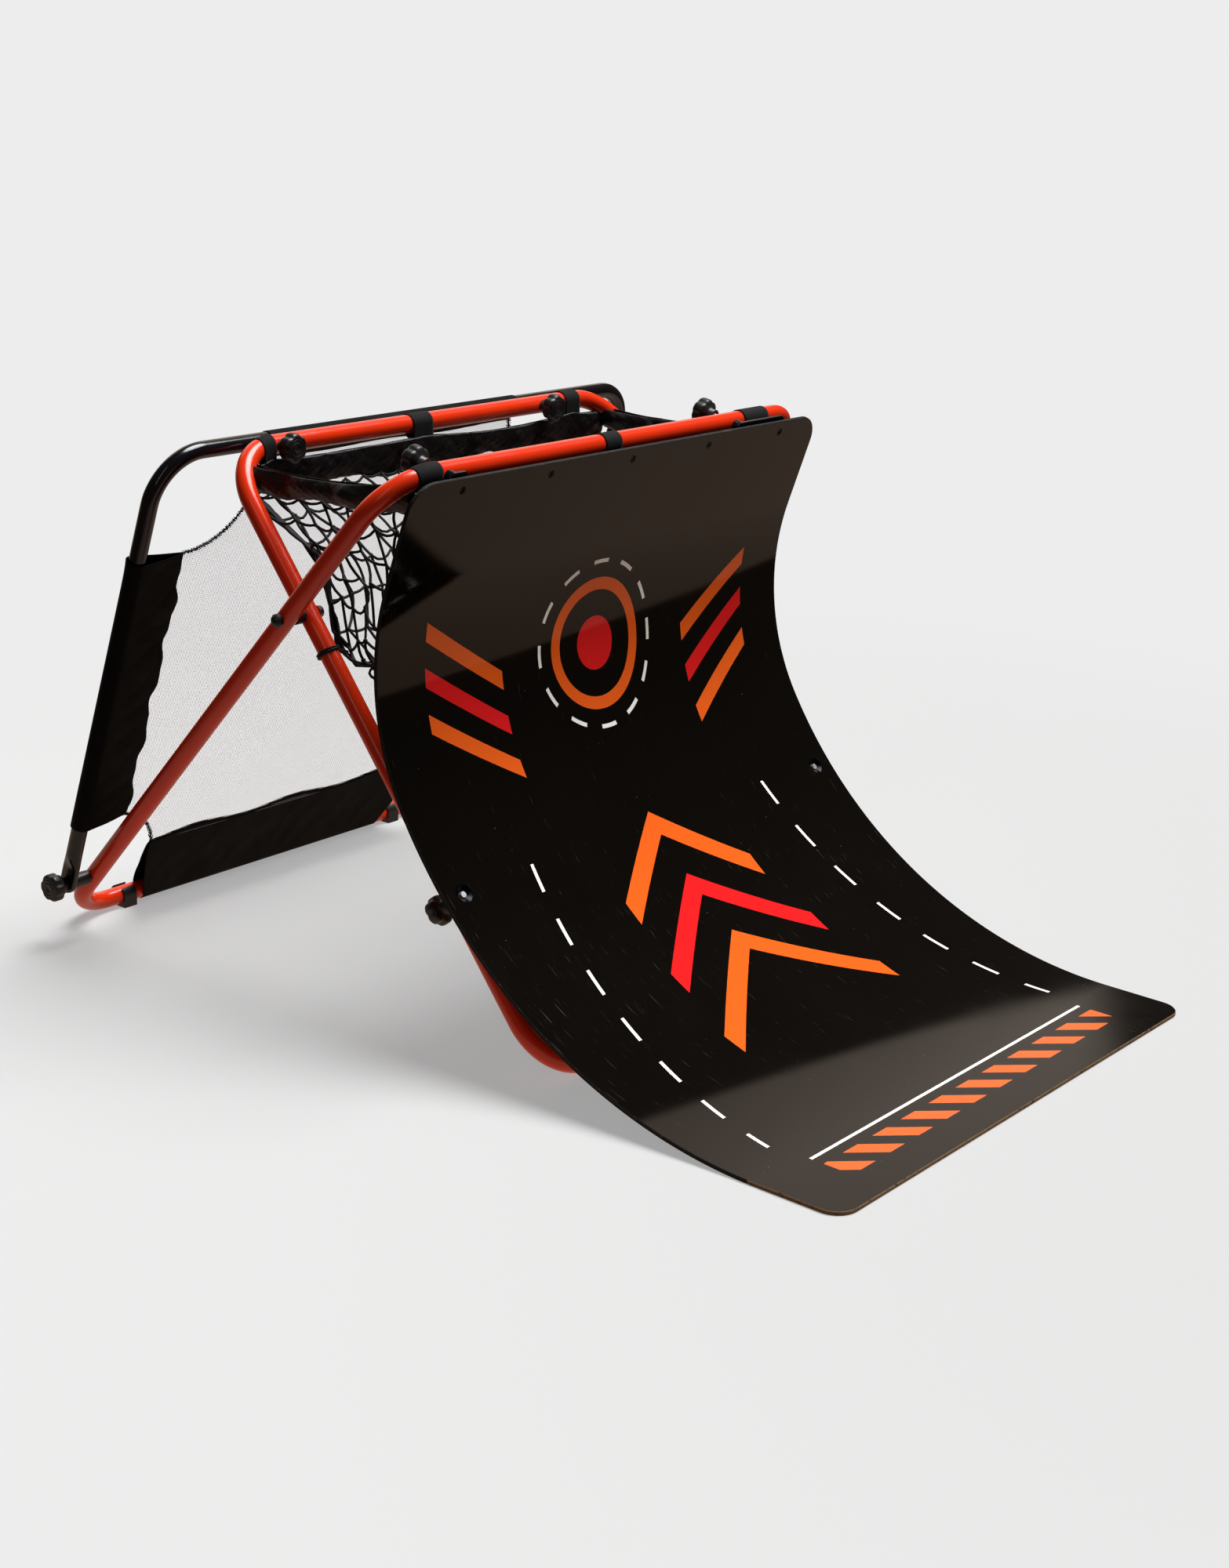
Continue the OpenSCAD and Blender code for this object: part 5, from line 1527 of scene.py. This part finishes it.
    def gathers(self, strands: Strands, chance: np.random.Generator) -> None:
        """Adds the strands that lie gathered along the bag's four corners."""
        s = self.sizes
        for side in Side:
            for path, count in ((s.back_wall, 7), (s.front_wall, 4)):
                for _ in range(count):
                    wander = chance.normal(0, 2.2, 2)
                    line = []
                    for share in np.linspace(0, 0.86, 26):
                        y, z = self.wall(path, float(share))
                        wander = wander * 0.8 + chance.normal(0, 1.4, 2)
                        x = side.value * (s.rim_half - s.net_inset - s.net_taper * share - 3.0) + wander[0]
                        line.append(np.array([x, y + wander[1], z + wander[1] * 0.5]))
                    strands.lay(line)

    def ties(self) -> None:
        """Winds the cord ties round the inner legs, with loose ends."""
        strands = Strands()
        radius = self.frames.red_radius + 1.9
        turn, t = np.linspace(0, 2 * TAU, 60), np.linspace(0, 1, 7)
        for side in Side:
            leg = side.value * self.frames.front.half
            climb = -55.0 + 1.6 * np.sin(turn / 2)
            strands.lay(FRONT_LEGS.at(leg + radius * np.cos(turn), climb, radius * np.sin(turn)))
            for lead, length in ((0.0, 13.0), (2.4, 10.0)):
                inward = leg - side.value * (radius + length * t)
                strands.lay(FRONT_LEGS.at(inward, -56.0 - lead - 5 * t * t, 3.0 - lead * t))
        values = {"Radius": self.sizes.tie * MM, "Sides": 10, "Closed Ends": True}
        guide = strands.guide("basket_net_ties")
        piece = self.makers.tube.grow("basket_net_ties", guide, self.finishes.net_cord, **values)
        self.settle(piece, None, Body.FRONT_LEGS, "black_cord", "net_ties")


@dataclass(frozen=True)
class ReboundNetSizes:
    """Sizes of the rebound net, in millimetres in its frame's plane: X across, Y down."""

    half: float = 458.0
    side: float = 380.0
    top: float = 14.0
    side_top: float = 147.0
    side_len: float = 404.0
    top_left: float = -281.0
    top_right: float = 195.0
    foot_left: float = -321.0
    foot_right: float = 222.0
    foot: float = 608.0
    slant: float = 36.0
    wave: float = 3.5
    pitch: float = 3.0
    thread: float = 0.23
    bar: tuple[float, float] = (642.24, 15.5)
    radii: tuple[float, float, float, float] = (106.0, 170.0, 80.0, 150.0)
    top_round: float = 11.7
    side_round: float = 12.7
    bottom_round: float = 13.3


class ReboundNet(Assembly):
    """The fine rebound net in its frame: mesh, sleeves and whipped corners."""

    sizes = ReboundNetSizes()

    def build(self) -> None:
        """Builds the net and what holds it."""
        self.mesh()
        self.corners()
        self.top_sleeve()
        for side in Side:
            self.side_sleeve(side)
        self.bottom_sleeve()

    def cuts(self) -> list[tuple[np.ndarray, np.ndarray, np.ndarray, float]]:
        """Lists the cut corners: both ends, the circle's middle and its radius."""
        s = self.sizes
        low = s.side_top + s.side_len
        ends = [
            ((-s.side, s.side_top), (s.top_left, s.top + 2), 1), ((s.side, s.side_top), (s.top_right, s.top + 2), -1),
            ((-s.side, low), (s.foot_left, s.foot + 2), -1), ((s.side, low), (s.foot_right, s.foot + 2), 1),
        ]
        found = []
        for (a, b, turn), radius in zip(ends, s.radii):
            first, last = np.array(a, float), np.array(b, float)
            half = (last - first) / 2
            reach = float(np.linalg.norm(half))
            lift = math.sqrt(radius * radius - reach * reach) / reach
            found.append((first, last, first + half + turn * lift * np.array([half[1], -half[0]]), radius))
        return found

    def wave_at(self, x: Any) -> Any:
        """Gives the wave of the bottom sleeve's upper edge."""
        return self.sizes.wave * np.sin(np.asarray(x) * TAU / 190.0)

    def inner(self, t: float) -> float:
        """Gives how far out the side sleeves' sewn edge lies at a share of their length."""
        s = self.sizes
        return s.side + s.wave * math.sin(4 * TAU * t) + 1.6 * math.sin(9.3 * TAU * t + 1)

    def mesh(self) -> None:
        """Lays the threads: every warp and weft is cut where it meets the net's edge."""
        s = self.sizes
        cuts = self.cuts()
        strands = Strands()

        def inside(x: np.ndarray, y: np.ndarray) -> np.ndarray:
            """Says which places lie on the net."""
            keep = (y > s.top) & (y < s.foot + 4 + self.wave_at(x)) & (np.abs(x) < s.side + 8)
            keep &= (np.abs(x) < s.side) | ((y > s.side_top) & (y < s.side_top + s.side_len))
            for _, _, middle, radius in cuts:
                keep &= np.hypot(x - middle[0], y - middle[1]) > radius
            return keep

        def lay(x: np.ndarray, y: np.ndarray) -> None:
            """Lays one thread through the places that are on the net."""
            keep = np.flatnonzero(inside(x, y))
            if len(keep) < 4:
                return
            chosen = np.unique(np.linspace(keep[0], keep[-1], 12).astype(int))
            x, y = x[chosen], y[chosen]
            strands.lay(REBOUND.at(x, y, 0.5 * np.sin(x / 61.0) * np.sin(y / 83.0)))

        y = np.arange(0.0, s.foot + 20, 1.0)
        for x in np.arange(-s.side - 7, s.side + 7, s.pitch):
            lay(np.full_like(y, x), y)
        x = np.arange(-s.side - 9, s.side + 9, 1.0)
        for y_row in np.arange(s.top + 1, s.foot + 8, s.pitch):
            lay(x, np.full_like(x, y_row))
        guide = strands.guide("knitted_rebound_net")
        values = {"Radius": s.thread * MM, "Sides": 3}
        piece = self.makers.tube.grow("knitted_rebound_net", guide, self.finishes.knit, **values)
        self.settle(piece, None, Body.REBOUND, "white_mesh", "rebound_mesh")

    def corners(self) -> None:
        """Makes the whipped cords along the four cut corners."""
        strands = Strands()
        for first, last, middle, radius in self.cuts():
            a, b = (math.atan2(p[1] - middle[1], p[0] - middle[0]) for p in (first, last))
            sweep = (b - a + math.pi) % TAU - math.pi
            turn = a + sweep * np.linspace(-0.01, 1.01, 40)
            strands.lay(REBOUND.at(middle[0] + radius * np.cos(turn), middle[1] + radius * np.sin(turn)))
        core = {"Radius": 1.0 * MM, "Sides": 10, "Closed Ends": True}
        wraps = {
            "Step": 2.8 * MM, "Ring": 2.9 * MM, "Thread": 0.5 * MM,
            "Stretch": (1.0, 0.8, 1.0), "Spread": 2.2, "Seed": 7,
        }
        for name, maker, values, nodes in (
            ("corner_core", self.makers.tube, core, ["mesh_corner_cords"]),
            ("corner_wraps", self.makers.row, wraps, []),
        ):
            piece = maker.grow(name, strands.guide(name), self.finishes.whipping, **values)
            self.settle(piece, None, Body.REBOUND, "black_cord", *nodes)

    def top_sleeve(self) -> None:
        """Folds the top sleeve round the black bar, with its short flap down to the net."""
        s = self.sizes
        section, free = pocket_section((0.0, 26.0), 1.5, s.top_round, 8, 30)
        across, down = section.T
        creases = Creases(31, (48.0, 23.0), (0.2, -0.4))
        rows = []
        for x in np.arange(s.top_left, s.top_right + 0.1, 3.5):
            lump = 0.35 * creases.at(x, down) * free
            edge = np.where(free > 0, 1.5 * np.sin(x / 37.0), 0.0) * (down > 18)
            rows.append(REBOUND.at(x, down + edge, across + lump))
        piece = cloth("top_sleeve", np.array(rows), 0.7)
        self.settle(piece, self.finishes.oxford, Body.REBOUND, "black_webbing", "mesh_top_sleeve")

    def side_sleeve(self, side: Side) -> None:
        """Folds a side sleeve round the leg, its two layers sewn on the net's edge."""
        s = self.sizes
        name = f"{side.name.lower()}_sleeve"
        creases = Creases(50 + side.value, (85.0, 41.0, 20.0), (0.9, -0.5, 0.4))
        rows = []
        for t in np.linspace(0, 1, 136):
            y = s.side_top + t * s.side_len
            mouth = 1.5 * math.exp(-t / 0.03)
            section, free = pocket_section((self.inner(t) - s.half, 0.0), 2.0, s.side_round + mouth, 22, 26)
            lump = 1.5 * creases.at(y, section[:, 0]) * free
            rows.append(REBOUND.at(side.value * (s.half + section[:, 0]), y, section[:, 1] + lump))
        piece = cloth(name, np.array(rows), 0.8)
        self.settle(piece, self.finishes.oxford, Body.REBOUND, "black_webbing", f"mesh_{name}")
        seam = Strands()
        seam.lay(
            REBOUND.at(side.value * (self.inner(t) + 5.0), s.side_top + t * s.side_len, -2.1)
            for t in np.linspace(0.005, 0.995, 200)
        )
        values = {
            "Step": 4.2 * MM, "Ring": 0.9 * MM, "Thread": 0.35 * MM,
            "Stretch": (0.6, 0.6, 1.0), "Spread": 0.4, "Seed": 3,
        }
        stitches = self.makers.row.grow(f"{name}_seam", seam.guide(f"{name}_seam"), self.finishes.whipping, **values)
        self.settle(stitches, None, Body.REBOUND, "black_webbing")

    def bottom_sleeve(self) -> None:
        """Folds the bottom sleeve round the rear bottom bar and up to the net."""
        s = self.sizes
        creases = Creases(71, (120.0, 52.0, 26.0), (0.8, -0.6, 0.5))
        rows = []
        for q in np.linspace(0, 1, 160):
            crest_x = s.foot_left + (s.foot_right - s.foot_left) * q
            bar_x = s.foot_left + s.slant + (s.foot_right - s.foot_left - 2 * s.slant) * q
            crest = REBOUND.at(crest_x, s.foot + float(self.wave_at(crest_x)))
            mouth = (float(crest[1] - s.bar[0]), float(crest[2] - s.bar[1]))
            reach = math.hypot(*mouth)
            section, free = pocket_section(mouth, 1.8, s.bottom_round, 20, 30)
            ahead = (section @ np.array(mouth)) / reach**2
            spread = np.clip(ahead / 0.9, 0, 1) ** 0.8
            x = bar_x + (crest_x - bar_x) * spread
            lump = 2.0 * creases.at(x, ahead * reach) * free * np.clip(1.4 * (1 - ahead), 0, 1)
            off = lump[:, None] * np.array([-mouth[1], mouth[0]]) / reach
            rows.append(np.column_stack([x, s.bar + section + off]))
        piece = cloth("bottom_sleeve", np.array(rows), 0.8)
        start, end = (0.0, s.bar[0] - 8, s.bar[1] + 14), tuple(REBOUND.at(0.0, s.foot - 4))
        both = (Body.REAR_LEGS, Body.REBOUND)
        self.stretch(piece, self.finishes.oxford, both, start, end, "black_webbing", "mesh_bottom_sleeve")


# ---------------------------------------------------------------- studio


@dataclass(frozen=True)
class Studio:
    """Camera, floor and light; lengths in metres, angles in degrees."""

    eye: tuple[float, float, float] = (-2.5027, -1.9671, 1.2825)
    azimuth: float = -53.26
    pitch: float = 19.94
    roll: float = 2.96
    lens: float = 73.24
    shift: tuple[float, float] = (-0.0492, 0.0778)
    grey: str = "#EDEDED"
    floor_half: float = 90.0

    def camera(self) -> None:
        """Sets the camera."""
        az, pitch, roll = (math.radians(v) for v in (self.azimuth, self.pitch, self.roll))
        back = Vector((math.sin(az) * math.cos(pitch), -math.cos(az) * math.cos(pitch), math.sin(pitch)))
        right = (-back).cross(Vector((0, 0, 1))).normalized()
        up = right.cross(-back)
        across = right * math.cos(roll) + up * math.sin(roll)
        above = -right * math.sin(roll) + up * math.cos(roll)
        data = bpy.data.cameras.new("camera")
        data.sensor_fit = "HORIZONTAL"
        data.sensor_width = 36.0
        data.lens = self.lens
        data.shift_x, data.shift_y = self.shift
        data.clip_end = 100.0
        camera = place("camera", data)
        turn = Matrix((across, above, back)).transposed().to_4x4()
        camera.matrix_world = Matrix.Translation(self.eye) @ turn
        bpy.context.scene.camera = camera

    def lamp(
        self, name: str, spot: tuple[float, float, float], aim: tuple[float, float, float],
        size: tuple[float, float], power: float,
    ) -> None:
        """Hangs one soft box.

        Args:
            name: Name of the lamp.
            spot: Its place.
            aim: What it points at.
            size: Width and height.
            power: Watts.
        """
        data = bpy.data.lights.new(name, "AREA")
        data.shape = "RECTANGLE"
        data.size, data.size_y = size
        data.energy = power
        turn = (Vector(spot) - Vector(aim)).to_track_quat("Z", "Y").to_matrix().to_4x4()
        place(name, data).matrix_world = Matrix.Translation(spot) @ turn

    def sun(self, toward: tuple[float, float, float], strength: float, spread: float) -> None:
        """Hangs the key light far away, so that the floor is evenly lit.

        Args:
            toward: Direction to the light.
            strength: Watts per square metre.
            spread: Width of the light as it is seen, in degrees.
        """
        data = bpy.data.lights.new("key", "SUN")
        data.energy = strength
        data.angle = math.radians(spread)
        place("key", data).matrix_world = Vector(toward).to_track_quat("Z", "Y").to_matrix().to_4x4()

    def room(self) -> None:
        """Makes the dim room: a lit wall low on the far right, seen by the gloss, and a pale backdrop."""
        world = bpy.data.worlds.new("studio")
        tree = empty_tree(world)
        toward = add(tree, "ShaderNodeTexCoord", out="Generated")
        apart = add(tree, "ShaderNodeSeparateXYZ", {"Vector": toward}, out="X").node.outputs
        x, y, z = (apart[axis] for axis in "XYZ")
        # The backdrop ends in an upright edge about 66 degrees to the right, which the ramp's foot mirrors
        near = span(tree, formula(tree, "z 0.41 * 0.961 + x y atan2 -", x=x, y=y, z=z), -0.012, 0.012, soft=True)
        high = span(tree, z, 0.82, 0.62, soft=True)
        wall = formula(tree, "near high * x y atan2 0.1 > * 0.86 * 0.05 +", near=near, high=high, x=x, y=y)
        room = add(tree, "ShaderNodeBackground", {"Color": linear("#FFF1E4"), "Strength": wall})
        backdrop = add(tree, "ShaderNodeBackground", {"Color": linear(self.grey), "Strength": 1.0})
        self.show(tree, "ShaderNodeOutputWorld", room, backdrop)
        bpy.context.scene.world = world

    def show(self, tree: Tree, kind: str, unseen: Socket, seen: Socket) -> None:
        """Ends a tree with one look for the camera and another for light and mirrors."""
        camera = add(tree, "ShaderNodeLightPath", out="Is Camera Ray")
        add(tree, kind, {"Surface": add(tree, "ShaderNodeMixShader", {0: camera, 1: unseen, 2: seen})})

    def paper(self) -> bpy.types.Material:
        """Makes the floor's matt paper, which passes into the backdrop's grey away from the object."""
        material = bpy.data.materials.new("matt_paper")
        tree = empty_tree(material)
        place = add(tree, "ShaderNodeTexCoord", out="Object")
        away = add(tree, "ShaderNodeVectorMath", {0: place}, out="Value", operation="LENGTH")
        far = span(tree, away, 0.9, 2.6, low=0.4, soft=True)
        paper = add(tree, "ShaderNodeBsdfDiffuse", {"Color": linear("#C3C3C3"), "Roughness": 0.5})
        glow = add(tree, "ShaderNodeEmission", {"Color": linear(self.grey), "Strength": 1.0})
        lit = add(tree, "ShaderNodeMixShader", {0: far, 1: paper, 2: glow})
        # The object sees a dimmer, warm floor that ends in the dark room a few steps to either side
        across = add(tree, "ShaderNodeSeparateXYZ", {"Vector": place}, out="X")
        right, left = span(tree, across, 1.86, 1.78), span(tree, across, -1.35, -0.75)
        strength = formula(tree, "r l * 0.44 * 0.06 +", r=right, l=left)
        dim = add(tree, "ShaderNodeEmission", {"Color": linear("#FFE2CC"), "Strength": strength})
        self.show(tree, "ShaderNodeOutputMaterial", dim, lit)
        return material

    def build(self) -> None:
        """Sets camera, floor and lights."""
        self.camera()
        reach = self.floor_half / MM
        corners = [(-reach, -reach, 0), (reach, -reach, 0), (reach, reach, 0), (-reach, reach, 0)]
        floor = place("studio_floor", new_mesh("studio_floor", corners, [(0, 1, 2, 3)]))
        floor.data.materials.append(self.paper())
        self.room()
        self.sun((0.38, -0.2, 1.0), 5.3, 40.0)
        self.lamp("strip_left", (-2.6, -0.6, 2.0), (0.0, 0.1, 0.6), (0.2, 1.8), 3.0)
        self.lamp("top_box", (0.2, 0.3, 2.8), (0.0, 0.1, 0.4), (1.2, 0.9), 14.0)
        bpy.context.scene.view_settings.view_transform = "Standard"


def main() -> None:
    """Builds the object on its frame and the studio round it."""
    logging.basicConfig(level=logging.INFO, format="%(name)s: %(message)s")
    Studio().build()
    finishes = Finishes()
    makers = Makers(TubeGrower(), NetGrower(), RowGrower(), ScrewGrower())
    for kind in (TubeFrames, Ramp, Knobs, Basket, ReboundNet):
        kind(finishes, makers).build()
        LOG.info("%s is built", kind.__name__)


if __name__ == "__main__":
    main()
